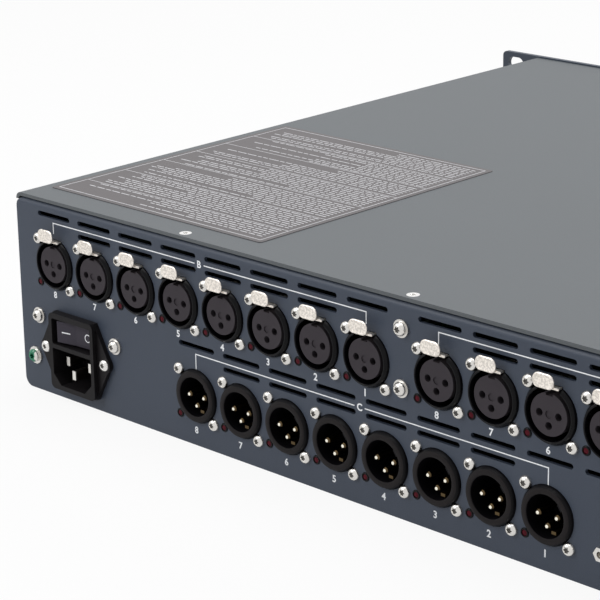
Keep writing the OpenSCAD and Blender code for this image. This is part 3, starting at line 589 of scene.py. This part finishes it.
def solids(node_name):
    """The lowest and highest corners of each solid in a CAD node, as two arrays."""
    points, triangles = read_mesh(frame["nodes"][node_name].data)
    _, same = np.unique(np.round(points * 1e6).astype(int), axis=0, return_inverse=True)
    triangles = same.ravel()[triangles]
    label = np.arange(same.max() + 1)
    while True:
        lowest = np.repeat(label[triangles].min(1), 3)
        new = label.copy()
        np.minimum.at(new, triangles.ravel(), lowest)
        new = new[new]
        if (new == label).all():
            break
        label = new
    owner = label[same.ravel()]
    names = np.unique(owner)
    low = np.array([points[owner == k].min(0) for k in names])
    high = np.array([points[owner == k].max(0) for k in names])
    return low, high


print(len(solids("channel_lamps")[0]), "channel lamps")

# %% [markdown]
# Screws
# ------
# A pan head is a low dome with a six-lobed recess. A head could be cut with a boolean, but one
# stack of rings gives a cleaner mesh: the inner rings follow the lobes, and the outer ones turn
# into circles on the way to the rim. The stack goes on under the head and down the shank. A thin
# dark star lies in each recess, since the bottom of a real one lies in shade.

# %% Screw heads
LOBES = turn(48)
FLOOR_FIT, EDGE_FIT, EDGE_DROP = 0.94, 1.06, 0.08 * MM
SCREW_GAP = 0.01 * MM


def lobed(radius):
    """The recess's outline: r = radius * (1 + 0.2 cos 6a), which has six lobes."""
    return radius * (1 + 0.2 * np.cos(6 * LOBES))


def screw_rings(rows):
    """A ring for each pair of radius and height, turned around the screw's axis."""
    return skin([at_rear(r * np.cos(LOBES), y, r * np.sin(LOBES)) for r, y in rows])


def screw(head_r, head_h, stem_r, stem_l, lobe_r, depth):
    """Rings of radius r and height y. In the recess r follows the lobes. On the dome r blends
    from them to head_r, and y = head_h * (1 - (r / head_r) ** 3) ** 0.5."""
    def dome(radius):
        return head_h * np.sqrt(np.clip(1 - (radius / head_r) ** 3, 0, 1))

    lobe, level = lobed(lobe_r), np.full_like(LOBES, dome(lobe_r) - depth)
    rows = [(lobe / 2, level), (FLOOR_FIT * lobe, level), (lobe, dome(lobe) - EDGE_DROP)]
    for part in np.sin(np.linspace(0.0, math.pi / 2, 9)):
        radius = EDGE_FIT * lobe * (1 - part) + head_r * part
        rows.append((radius, dome(radius)))
    for radius, height in ((head_r, -SCREW_GAP), (stem_r, -SCREW_GAP), (stem_r, -stem_l)):
        rows.append((np.full_like(LOBES, radius), np.full_like(LOBES, height)))
    return screw_rings(rows)


LOBE_SHARE, DEPTH_SHARE = 0.4, 0.7
STAR_FIT, STAR_T = 0.97, 0.1 * MM
STAR_SHARE, STAR_SINK = 0.93, 0.45 * MM


def screw_piece(node_name, head_r, head_h, stem_r, stem_l, seat):
    """A screw and its star on each solid of the node. The seat is the height of the head's
    underside above the rear panel. Lengths are in millimetres."""
    low, high = solids(node_name)
    places = (low + high) / 2
    places[:, 1] = REAR + seat * MM
    lobe_r, depth = head_r * LOBE_SHARE, head_h * DEPTH_SHARE
    sizes = np.array((head_r, head_h, stem_r, stem_l, lobe_r, depth)) * MM
    slot = slot_of[node_name]
    piece(node_name + "_heads", copies(screw(*sizes), places), slot, "case", (node_name,))
    star = lobed(lobe_r * MM) * STAR_FIT
    places[:, 1] += head_h * MM * STAR_SHARE - STAR_SINK
    star_shape = screw_rings(((star, 0.0), (star, STAR_T)))
    piece(node_name + "_recess", copies(star_shape, places), "recess_dark")
    return len(places)


made = screw_piece("socket_screws", 2.6, 2.0, 1.25, 9.0, 0.0)
made += screw_piece("case_screws", 2.8, 2.2, 1.5, 7.0, 0.8)
made += screw_piece("inlet_screws", 2.6, 1.4, 1.5, 7.0, 2.0)
print(made, "screws with lobed recesses")

# %% [markdown]
# Latches
# -------
# Each input has a stamped strip with a push tab. The tab's face is pressed in a little, so its
# rolled rim catches the light all round. The outline is a rounded rectangle, almost a stadium,
# with slightly smaller corners below. It is drawn once, and each ring of the tab is the same
# outline with another inset, which keeps the rim even.

# %% Latch tabs
TAB_H, SHEET = 5.6 * MM, 0.9 * MM
PRESSED = ((0.62, 0.04), (0.95, 0.14))
PRESS_FLOOR = 0.05


def tab_edge(width, height, inset, top_r=2.75 * MM, low_r=2.3 * MM, steps=9):
    """A closed outline of four quarter circles, each drawn around its own middle."""
    quarter = turn(steps, 0.0, math.pi / 2, closed=False)
    corners = ((1, 1, top_r), (-1, 1, top_r), (-1, -1, low_r), (1, -1, low_r))
    x, z = [], []
    for index, (across, up, radius) in enumerate(corners):
        angle = quarter + index * math.pi / 2
        x.append(across * (width / 2 - radius) + (radius - inset) * np.cos(angle))
        z.append(up * (height / 2 - radius) + (radius - inset) * np.sin(angle))
    return np.concatenate(x), np.concatenate(z)


def tab(width, height):
    """Rings from the back's middle, round the rolled rim, to the middle of the pressed face.
    Each ring is an inset and a height: the rim is a half circle as thick as the sheet, and the
    pressed face goes in by the millimetres in PRESSED."""
    half = SHEET / 2
    roll = turn(9, -math.pi / 2, math.pi / 2, closed=False)
    rim = [(half - half * math.cos(a), half + half * math.sin(a)) for a in roll]
    rings = []
    for inset, press in PRESSED:
        rim.append((inset * MM, SHEET - press * MM))
    for inset, level in rim:
        x, z = tab_edge(width, height, inset)
        rings.append(at_rear(x, level, z))
    inner = rings[-1].mean(0)
    for share in (0.66, 0.33):
        ring = inner + (rings[-1] - inner) * share
        ring[:, 1] = SHEET - (PRESSED[-1][1] + PRESS_FLOOR * (1 - share)) * MM
        rings.append(ring)
    return skin(rings)


print("tab outline of", len(tab_edge(9 * MM, TAB_H, 0.0)[0]), "points")

# %% [markdown]
# Latch arms
# ----------
# Behind the tab a narrow neck bends down to a broad arm, which goes through the panel into the
# socket. Both are flat bars carried along a path. Each cross-section is a rectangle with rounded
# edges, made by raising the cosine and sine of a circle to a power below one.

# %% Arms, necks and whole latches
ARM_W, NECK_W, ARM_Z = 9.2 * MM, 5.2 * MM, 10.3 * MM
EDGE_POWER = 0.35


def bar(path, width):
    """A flat bar along a path in Y and Z, in millimetres. At each point x is half the width times
    the cosine to the power 0.175, and the height is half the sheet times the sine to 0.35."""
    path = np.array(path, float) * MM
    along = np.gradient(path, axis=0)
    along /= np.linalg.norm(along, axis=1, keepdims=True)
    angle = turn(20)
    x = width / 2 * np.sign(np.cos(angle)) * np.abs(np.cos(angle)) ** (EDGE_POWER / 2)
    out = SHEET / 2 * np.sign(np.sin(angle)) * np.abs(np.sin(angle)) ** EDGE_POWER
    rings = [at_rear(x, y - out * t[1], ARM_Z + z + out * t[0]) for (y, z), t in zip(path, along)]
    return skin(rings)


arm = bar([(-11.0, 0.0), (-5.0, 0.0), (0.0, 0.0), (1.9, 0.0)], ARM_W)
NECK = [(0.9, 0.0), (1.5, 0.1), (2.3, 0.5), (3.4, 1.15)]
NECK_END, NECK_SINK = 1.6, 0.2
row_z = float(inputs[0][2])
latch_nodes = sorted(name for name in frame["nodes"] if name.startswith("latch_"))
for name in latch_nodes:
    low, high = (np.array(corner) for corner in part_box(name))
    latch_x, tab_y = (low[0] + high[0]) / 2, high[1] - SHEET
    neck = bar(NECK + [((tab_y - REAR) / MM + NECK_SINK, NECK_END)], NECK_W)
    shape = together(
        copies(tab(high[0] - low[0], TAB_H), [(latch_x, tab_y, high[2] - TAB_H / 2)]),
        copies(together(arm, neck), [(latch_x, REAR, row_z)]),
    )
    piece(name + "_tab", shape, "latch_nickel", name + "_body", (name,))
print(len(latch_nodes), "latches")

# %% [markdown]
# Socket lips
# -----------
# An input's nose is a glossy cone with a rounded lip, open at the top where the latch passes.
# An output's nose has a broad flat face that is duller than its side. Both are profiles turned
# around the socket's axis: a few points of radius and height, given in millimetres. The gap in
# an input's lip is the angle at which the lip meets the edge of the notch.

# %% Lips around the sockets
def turned(profile, angles):
    """The profile's points (r, y), in millimetres, go round the axis: x = r cos a, z = r sin a."""
    radius, height = np.array(profile, float).T * MM
    return [at_rear(radius * math.cos(a), height, radius * math.sin(a)) for a in angles]


INPUT_LIP = [(11.27, -0.02), (11.27, 0.33), (10.9, 0.88), (10.52, 1.44), (10.4, 1.58)]
INPUT_LIP += [(10.24, 1.67), (10.05, 1.69), (9.89, 1.63), (9.78, 1.5), (9.76, 0.5), (10.4, 0.2)]
OUTPUT_SIDE = [(11.27, -0.02), (11.27, 0.33), (10.9, 0.98), (10.6, 1.5), (10.5, 1.62)]
OUTPUT_SIDE += [(10.36, 1.64), (10.2, 1.2), (10.4, 0.2)]
OUTPUT_FACE = [(10.42, 1.5), (10.4, 1.64), (10.3, 1.7), (8.56, 1.7), (8.4, 1.66), (8.28, 1.55)]
OUTPUT_FACE += [(8.24, 1.3), (8.6, 1.1), (10.1, 1.1)]
NOTCH_HALF, LIP_R = 5.0, 10.3
LATCH_GAP = math.asin(NOTCH_HALF / LIP_R)
open_turn = turn(60, math.pi / 2 + LATCH_GAP, 2.5 * math.pi - LATCH_GAP, closed=False)
full_turn = turn(72)
lip = skin(turned(INPUT_LIP, open_turn))
piece("input_lips", copies(lip, inputs), "shell_gloss")
side_ring = ribbon_loop(turned(OUTPUT_SIDE, full_turn))
piece("output_sides", copies(side_ring, outputs), "shell_matte")
face_ring = ribbon_loop(turned(OUTPUT_FACE, full_turn))
piece("output_faces", copies(face_ring, outputs), "face_matte")
print("lips on", len(sockets), "sockets")

# %% [markdown]
# Lamp rims and notch strips
# --------------------------
# Each channel lamp sits in a small black rim, which is one more profile turned around an axis.
# The notch above an input is taller in the drawing than on a real unit, so that the latch can
# move. A painted strip closes the part of it that the latch doesn't use. It stays just under
# the panel's face, so that the two faces never lie in one plane.

# %% Rims and strips
RIM = [(1.16, 0.1), (1.2, 0.44), (1.34, 0.5), (1.66, 0.44), (1.88, 0.2), (1.9, 0.0)]
low, high = solids("channel_lamps")
lamps = (low + high) / 2
lamps[:, 1] = REAR
rim_ring = ribbon_loop(turned(RIM, turn(24)))
piece("lamp_rims", copies(rim_ring, lamps), "shell_gloss")

STRIP_HALF, STRIP_LOW, STRIP_TOP = 4.98, 11.0, 12.28
STRIP_DEPTHS = (-1.48, -0.75, -0.01)
strip_x = np.array((-STRIP_HALF, STRIP_HALF, STRIP_HALF, -STRIP_HALF)) * MM
strip_z = np.array((STRIP_LOW, STRIP_LOW, STRIP_TOP, STRIP_TOP)) * MM
strip = skin([at_rear(strip_x, depth * MM, strip_z) for depth in STRIP_DEPTHS])
piece("notch_strips", copies(strip, inputs), "rear_coat")
print(len(lamps), "lamp rims and", len(inputs), "strips")

# %% [markdown]
# Printed lines
# -------------
# The white print is a thin layer of ink. A line is a path with a width: at each point the edge
# is moved sideways, and at a corner it goes out by the mitre so that the width stays the same.
# The layer stands a few hundredths of a millimetre proud, as screen-printed ink does. It is
# drawn flat first, with u to the right and v up, and then laid on the panel it belongs to.

# %% Lines on the rear panel
INK = 0.03 * MM
LINE = 0.46 * MM


def stroke(path, width, thick=INK):
    """A flat line of that width along a path of points (u, v). A corner's offset is the sum of
    the two sides' normals divided by one plus the cosine of the angle between them."""
    path = np.array(path, float)
    step = np.diff(path, axis=0)
    step /= np.linalg.norm(step, axis=1, keepdims=True)
    before, after = np.vstack((step[:1], step)), np.vstack((step, step[-1:]))
    normal = np.stack((-(before + after)[:, 1], (before + after)[:, 0]), -1)
    normal /= (1 + (before * after).sum(1))[:, None]
    left, right_side = path + normal * width / 2, path - normal * width / 2
    rows = np.stack((left, right_side, right_side, left), 1)
    height = np.broadcast_to(np.array((0.0, 0.0, thick, thick)), rows.shape[:2])
    return skin(np.concatenate((rows, height[..., None]), -1))


def on_rear(shape, x=0.0, z=0.0):
    """Turns the shape so that it reads from behind: u runs along -X and v along +Z."""
    return laid(shape, lambda u, v, height: (x - u, REAR + height, z + v))


LETTER_GAP = 2.6 * MM


def bracket(row, rise, drop):
    """A line over a row from its first socket to its last, with a short tick at each end. It
    breaks in the middle, where the row's letter stands."""
    first, last = -row[0][0], -row[-1][0]
    top, centre = row[0][2] + rise, (first + last) / 2
    return together(*(
        on_rear(stroke([(end, top - drop), (end, top), (centre - side * LETTER_GAP, top)], LINE))
        for end, side in ((first, 1), (last, -1))
    ))


INPUT_RISE, OUTPUT_RISE = 18.1 * MM, 17.9 * MM
INPUT_TICK, OUTPUT_TICK = 4.7 * MM, 6.4 * MM
BANKS = (
    ("B", inputs[:8], INPUT_RISE, INPUT_TICK),
    ("A", inputs[8:], INPUT_RISE, INPUT_TICK),
    ("C", outputs, OUTPUT_RISE, OUTPUT_TICK),
)
lines = together(*(bracket(row, rise, tick) for _, row, rise, tick in BANKS))
piece("bank_lines", lines, "print_white")
print(len(BANKS), "bracket lines")

# %% [markdown]
# Numbers and letters
# -------------------
# Each socket has its number under it, from eight down to one, and each row has its letter in
# the middle of its bracket. A text object gives the outline. It is made a mesh at once, and its
# points are then scaled and moved like any other array. The font is Blender's own, made a
# little bolder by an offset of its outline.

# %% Lettering on the rear panel
BOLDER = 0.028


def lettering(text, height):
    """The text as a shape centred on the origin, with digits of that height, as thick as ink."""
    curve = bpy.data.curves.new("digits", "FONT")
    curve.body = text
    curve.size = 1.0
    curve.extrude = 0.005
    curve.offset = BOLDER
    curve.resolution_u = 4
    thing = bpy.data.objects.new("digits", curve)
    bpy.context.scene.collection.objects.link(thing)
    bpy.context.view_layer.update()
    seen = thing.evaluated_get(bpy.context.evaluated_depsgraph_get())
    mesh = bpy.data.meshes.new_from_object(seen)
    points, triangles = read_mesh(mesh)
    points[:, :2] -= (points[:, :2].min(0) + points[:, :2].max(0)) / 2
    points *= height / np.ptp(points[:, 1])
    points[:, 2] *= INK / np.ptp(points[:, 2])
    points[:, 2] -= points[:, 2].min()
    bpy.data.objects.remove(thing)
    bpy.data.curves.remove(curve)
    bpy.data.meshes.remove(mesh)
    return points, [triangles]


DIGIT_H, DIGIT_SHIFT = 3.0 * MM, 0.8 * MM
digit = {n: lettering(str(n), DIGIT_H) for n in range(1, 9)}


def number_row(row, drop):
    """The numbers eight to one under a row, a little to the left of each socket's middle."""
    return together(*(
        on_rear(digit[8 - k % 8], place[0] + DIGIT_SHIFT, place[2] - drop)
        for k, place in enumerate(row)
    ))


piece("input_numbers", number_row(inputs, 13.7 * MM), "print_white")
piece("output_numbers", number_row(outputs, 14.8 * MM), "print_white")
letters = together(*(
    on_rear(lettering(letter, DIGIT_H), row[:, 0].mean(), row[0][2] + rise)
    for letter, row, rise, _ in BANKS
))
piece("bank_letters", letters, "print_white")
print(len(sockets), "numbers and", len(BANKS), "letters")

# %% [markdown]
# Top plate
# ---------
# A thin film on the cover would carry small print on a real unit. Here it says nothing. It has a
# pale frame, which is one stroke that goes all the way round, and a few cross lines between its
# sections. Lines are laid on the plate from its corner, as on paper.

# %% Frame and cross lines
plate_low, plate_high = (np.array(corner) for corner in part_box("rating_plate"))


def on_plate(shape):
    """Lays the shape on the plate: u runs along +X and v along +Y from its corner."""
    x, y, top = plate_low[0], plate_low[1], plate_high[2]
    return laid(shape, lambda u, v, height: (x + u, y + v, top + height))


MARGIN, RULE = 2.6 * MM, 0.45 * MM
SECTIONS = (0.165, 0.29, 0.42, 0.56, 0.72, 0.87)
wide, deep = (plate_high - plate_low)[:2]
far_u, far_v = wide - MARGIN, deep - MARGIN
border = [(MARGIN, MARGIN), (far_u, MARGIN), (far_u, far_v), (MARGIN, far_v)]
rules = [stroke(border + [(MARGIN, MARGIN - RULE / 2)], RULE)]
for share in SECTIONS:
    rules.append(stroke([(MARGIN, deep * share), (far_u, deep * share)], 0.8 * RULE))
print(len(SECTIONS), "cross lines on a plate of", round(wide, 3), "by", round(deep, 3))

# %% [markdown]
# Rows of dashes
# --------------
# Between the lines, rows of plain dashes of uneven length stand where print would be. A seeded
# generator draws the length of every dash and the share of the width at which each row ends, so
# the plate is the same on each run. The dashes are one slab of unit size, stretched and moved by
# arrays of lengths and places. A row too close to a cross line is left out.

# %% Dashes on the plate
DASH_H, DASH_GAP, ROW_STEP = 0.62 * MM, 0.9 * MM, 2.15 * MM
SHORTEST, LONGEST, MOST_IN_ROW = 1.6, 6.5, 60
ROW_SHARES = (0.97, 0.95, 0.9, 0.62, 0.4)
FIRST_ROW, LAST_ROW, INDENT, CLEAR = 3.2 * MM, 2.2 * MM, 2 * MM, 1.1 * MM

dice = np.random.default_rng(11)
row_v = np.arange(MARGIN + FIRST_ROW, far_v - LAST_ROW, ROW_STEP)
row_v = row_v[np.abs(row_v[:, None] - deep * np.array(SECTIONS)).min(1) > CLEAR]
dash = dice.uniform(SHORTEST, LONGEST, (len(row_v), MOST_IN_ROW)) * MM
dash_start = np.cumsum(dash + DASH_GAP, axis=1) - dash + MARGIN + INDENT
row_end = MARGIN + (wide - 2 * MARGIN) * dice.choice(ROW_SHARES, len(row_v))
kept = dash_start + dash < row_end[:, None]
start, length = dash_start[kept], dash[kept]
centre_v = np.broadcast_to(row_v[:, None], dash.shape)[kept]

unit, unit_faces = stroke([(-0.5, 0.0), (0.5, 0.0)], 1.0)
sizes = np.stack(np.broadcast_arrays(length, DASH_H, 1.0), -1)
middles = np.stack((start + length / 2, centre_v, np.zeros(len(start))), -1)
dash_points = (unit * sizes[:, None] + middles[:, None]).reshape(-1, 3)
rules.append((dash_points, copies((unit, unit_faces), middles)[1]))
piece("plate_rules", on_plate(together(*rules)), "print_grey")
print(len(row_v), "rows of dashes,", len(start), "dashes on the plate")

# %% [markdown]
# Marks on the rocker
# -------------------
# The switch's rocker carries a bar at one end and a ring at the other. Its face is two flat
# halves that meet at the pivot, and the whole rocker rests at an angle. So each mark is drawn
# flat, lifted onto its half, and then turned about the pivot by the rest angle.

# %% Bar and ring
pivot = next(j for j in frame["joints"] if j["name"] == "power_rocker_tilt")["pos_m"]
TILT = math.radians(7.0)
ROCKER_HALF, MID_H, END_H = 10.4 * MM, 4.7 * MM, 5.4 * MM
slope = (END_H - MID_H) / ROCKER_HALF


def on_rocker(shape, x):
    """Puts the shape on the rocker's face, which rises by slope away from the middle."""
    def surface(u, v, height):
        across = x - u
        out = MID_H + slope * np.abs(across) + height
        turned_x = across * math.cos(TILT) - out * math.sin(TILT)
        turned_y = across * math.sin(TILT) + out * math.cos(TILT)
        return pivot[0] + turned_x, pivot[1] + turned_y, pivot[2] + v

    return laid(shape, surface)


MARK_T = 0.04 * MM
BAR_HALF, BAR_W, BAR_X = 2.3 * MM, 0.5 * MM, 5.6 * MM
RING_IN, RING_OUT, RING_TALL, RING_X = 1.35 * MM, 1.75 * MM, 1.05, -6.8 * MM
ring_turn = turn(40)
ring_rows = [
    np.stack(np.broadcast_arrays(r * np.cos(ring_turn), r * RING_TALL * np.sin(ring_turn), h), -1)
    for r, h in ((RING_IN, 0.0), (RING_IN, MARK_T), (RING_OUT, MARK_T), (RING_OUT, 0.0))
]
marks = together(
    on_rocker(stroke([(-BAR_HALF, 0.0), (BAR_HALF, 0.0)], BAR_W, MARK_T), BAR_X),
    on_rocker(ribbon_loop(ring_rows), RING_X),
)
piece("rocker_marks", marks, "print_white", "power_rocker_body")
print("bar and ring on the rocker")

# %% [markdown]
# Front panel marks
# -----------------
# The front carries the display, a row of sixteen lamps, a power lamp to their left, three
# buttons and a knob. Small numbers sit under the row of lamps, and short ticks ring the knob,
# eleven of them over three quarters of a turn. The knob's pointer is a white strip that lies in
# the groove of its face and turns with it. Sorted along X, the power lamp comes first.

# %% Ticks, numbers and pointer
FRONT = float(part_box("front_panel")[0].y)
lamp_low, lamp_high = solids("front_lamps")
front_lamps = (lamp_low + lamp_high) / 2
lamp_row = front_lamps[np.argsort(front_lamps[:, 0])][1:]
knob_low, knob_high = (np.array(corner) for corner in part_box("control_knob"))
knob_x, knob_z = (knob_low[0] + knob_high[0]) / 2, (knob_low[2] + knob_high[2]) / 2
knob_r = (knob_high[0] - knob_low[0]) / 2


def on_front(shape, x, z, face=FRONT):
    """Turns the shape so that it reads from the front: u runs along +X, height along -Y."""
    return laid(shape, lambda u, v, height: (x + u, face - height, z + v))


TICK_IN, TICK_OUT, TICK_W = 2.5 * MM, 5.0 * MM, 0.6 * MM
SMALL_DIGIT_H, SMALL_DROP = 2.0 * MM, 4.2 * MM
ticks = []
for angle in np.radians(np.linspace(-135, 135, 11)):
    line = np.outer((knob_r + TICK_IN, knob_r + TICK_OUT), (math.sin(angle), math.cos(angle)))
    ticks.append(on_front(stroke(line, TICK_W), knob_x, knob_z))
labels = []
for number, place in enumerate(lamp_row, 1):
    label = lettering(str(number), SMALL_DIGIT_H)
    labels.append(on_front(label, place[0], place[2] - SMALL_DROP))
piece("front_marks", together(*ticks, *labels), "print_white")

POINTER_W, POINTER_T, POINTER_DEEP = 1.14 * MM, 0.3 * MM, 0.35 * MM
pointer = stroke([(0.0, 0.27 * knob_r), (0.0, 0.9 * knob_r)], POINTER_W, POINTER_T)
pointer_shape = on_front(pointer, knob_x, knob_z, knob_low[1] + POINTER_DEEP)
piece("knob_pointer", pointer_shape, "print_white", "control_knob_body")
print(len(ticks), "ticks and", len(labels), "numbers on the front")

# %% [markdown]
# Floor and backdrop
# ------------------
# The unit stands on a white floor that runs out of sight, in a white studio. To the camera, to
# mirrors and through glass the backdrop is pure white, and the floor mostly glows white, with a
# share of plain matte white that keeps the shadow. To every other ray the studio is much dimmer,
# so that it lights the unit softly.

# %% Floor and world
def seen_white(tree):
    """1 where a ray comes from the camera, from gloss or through glass, and 0 elsewhere."""
    path = tree.nodes.new("ShaderNodeLightPath")
    names = ("Is Camera Ray", "Is Glossy Ray", "Is Transmission Ray")
    seen, glossy, through = (Value(tree, path.outputs[name]) for name in names)
    return seen.math("ADD", seen + glossy, through, clamp=True)


FLOOR_HALF, FLOOR_POINTS = 8.0, 5
floor_mesh = bpy.data.meshes.new("floor")
span = np.linspace(-FLOOR_HALF, FLOOR_HALF, FLOOR_POINTS)
grid = np.stack(np.meshgrid(span, span, [float(cad_low.z)], indexing="ij"), -1).reshape(-1, 3)
tile = np.arange(FLOOR_POINTS**2).reshape(FLOOR_POINTS, FLOOR_POINTS)
floor_faces = np.stack((tile[:-1, :-1], tile[1:, :-1], tile[1:, 1:], tile[:-1, 1:]), -1)
floor_mesh.from_pydata(grid.tolist(), [], floor_faces.reshape(-1, 4).tolist())
floor = bpy.data.objects.new("floor", floor_mesh)
bpy.context.scene.collection.objects.link(floor)

GLOW_SHARE, AMBIENT = 0.9, 0.3
white = Finish("floor_white", Roughness=0.9)
white.set("Base Color", (0.7, 0.7, 0.7))
glow = white.add("ShaderNodeEmission", sockets={"Color": (1.0, 1.0, 1.0), "Strength": 1.0})
output = white.tree.nodes["Material Output"]
blend = white.add("ShaderNodeMixShader")
white.feed(blend.inputs[0], seen_white(white.tree) * GLOW_SHARE)
white.feed(blend.inputs[1], white.shader.outputs[0])
white.feed(blend.inputs[2], glow.outputs[0])
white.feed(output.inputs["Surface"], blend.outputs[0])
floor_mesh.materials.append(white.material)

world = bpy.data.worlds.new("studio")
world.use_nodes = True
bpy.context.scene.world = world
sky = world.node_tree.nodes["Background"]
level = seen_white(world.node_tree) * (1 - AMBIENT) + AMBIENT
world.node_tree.links.new(level.socket, sky.inputs["Strength"])
sky.inputs["Color"].default_value = (1.0, 1.0, 1.0, 1.0)
print("floor at", round(float(cad_low.z), 4), "and a studio of strength", AMBIENT)

# %% [markdown]
# Lamps
# -----
# Three large soft lamps light the unit, as softboxes do: one above it, one behind it on the side
# of the mains inlet, which models the rear panel, and one in front for the views from there.
# Large lamps give soft edges to the shadows and long, even highlights.

# %% Lamps
def soft_lamp(name, place, aim, size, power):
    """A square lamp that faces the aim point."""
    data = bpy.data.lights.new(name, "AREA")
    data.shape, data.size, data.energy = "SQUARE", size, power
    lamp = bpy.data.objects.new(name, data)
    towards = Vector(aim) - Vector(place)
    facing = towards.to_track_quat("-Z", "Y").to_matrix().to_4x4()
    lamp.matrix_world = Matrix.Translation(place) @ facing
    bpy.context.scene.collection.objects.link(lamp)


UNIT_MIDDLE, REAR_MIDDLE = (0.0, 0.0, 0.05), (0.0, REAR, 0.05)
soft_lamp("top_lamp", (0.1, -0.1, 1.6), UNIT_MIDDLE, 1.4, 20.0)
soft_lamp("rear_lamp", (0.9, 1.3, 1.1), REAR_MIDDLE, 0.8, 13.0)
soft_lamp("front_lamp", (-0.8, -1.5, 1.0), UNIT_MIDDLE, 1.2, 16.0)
print("three lamps")
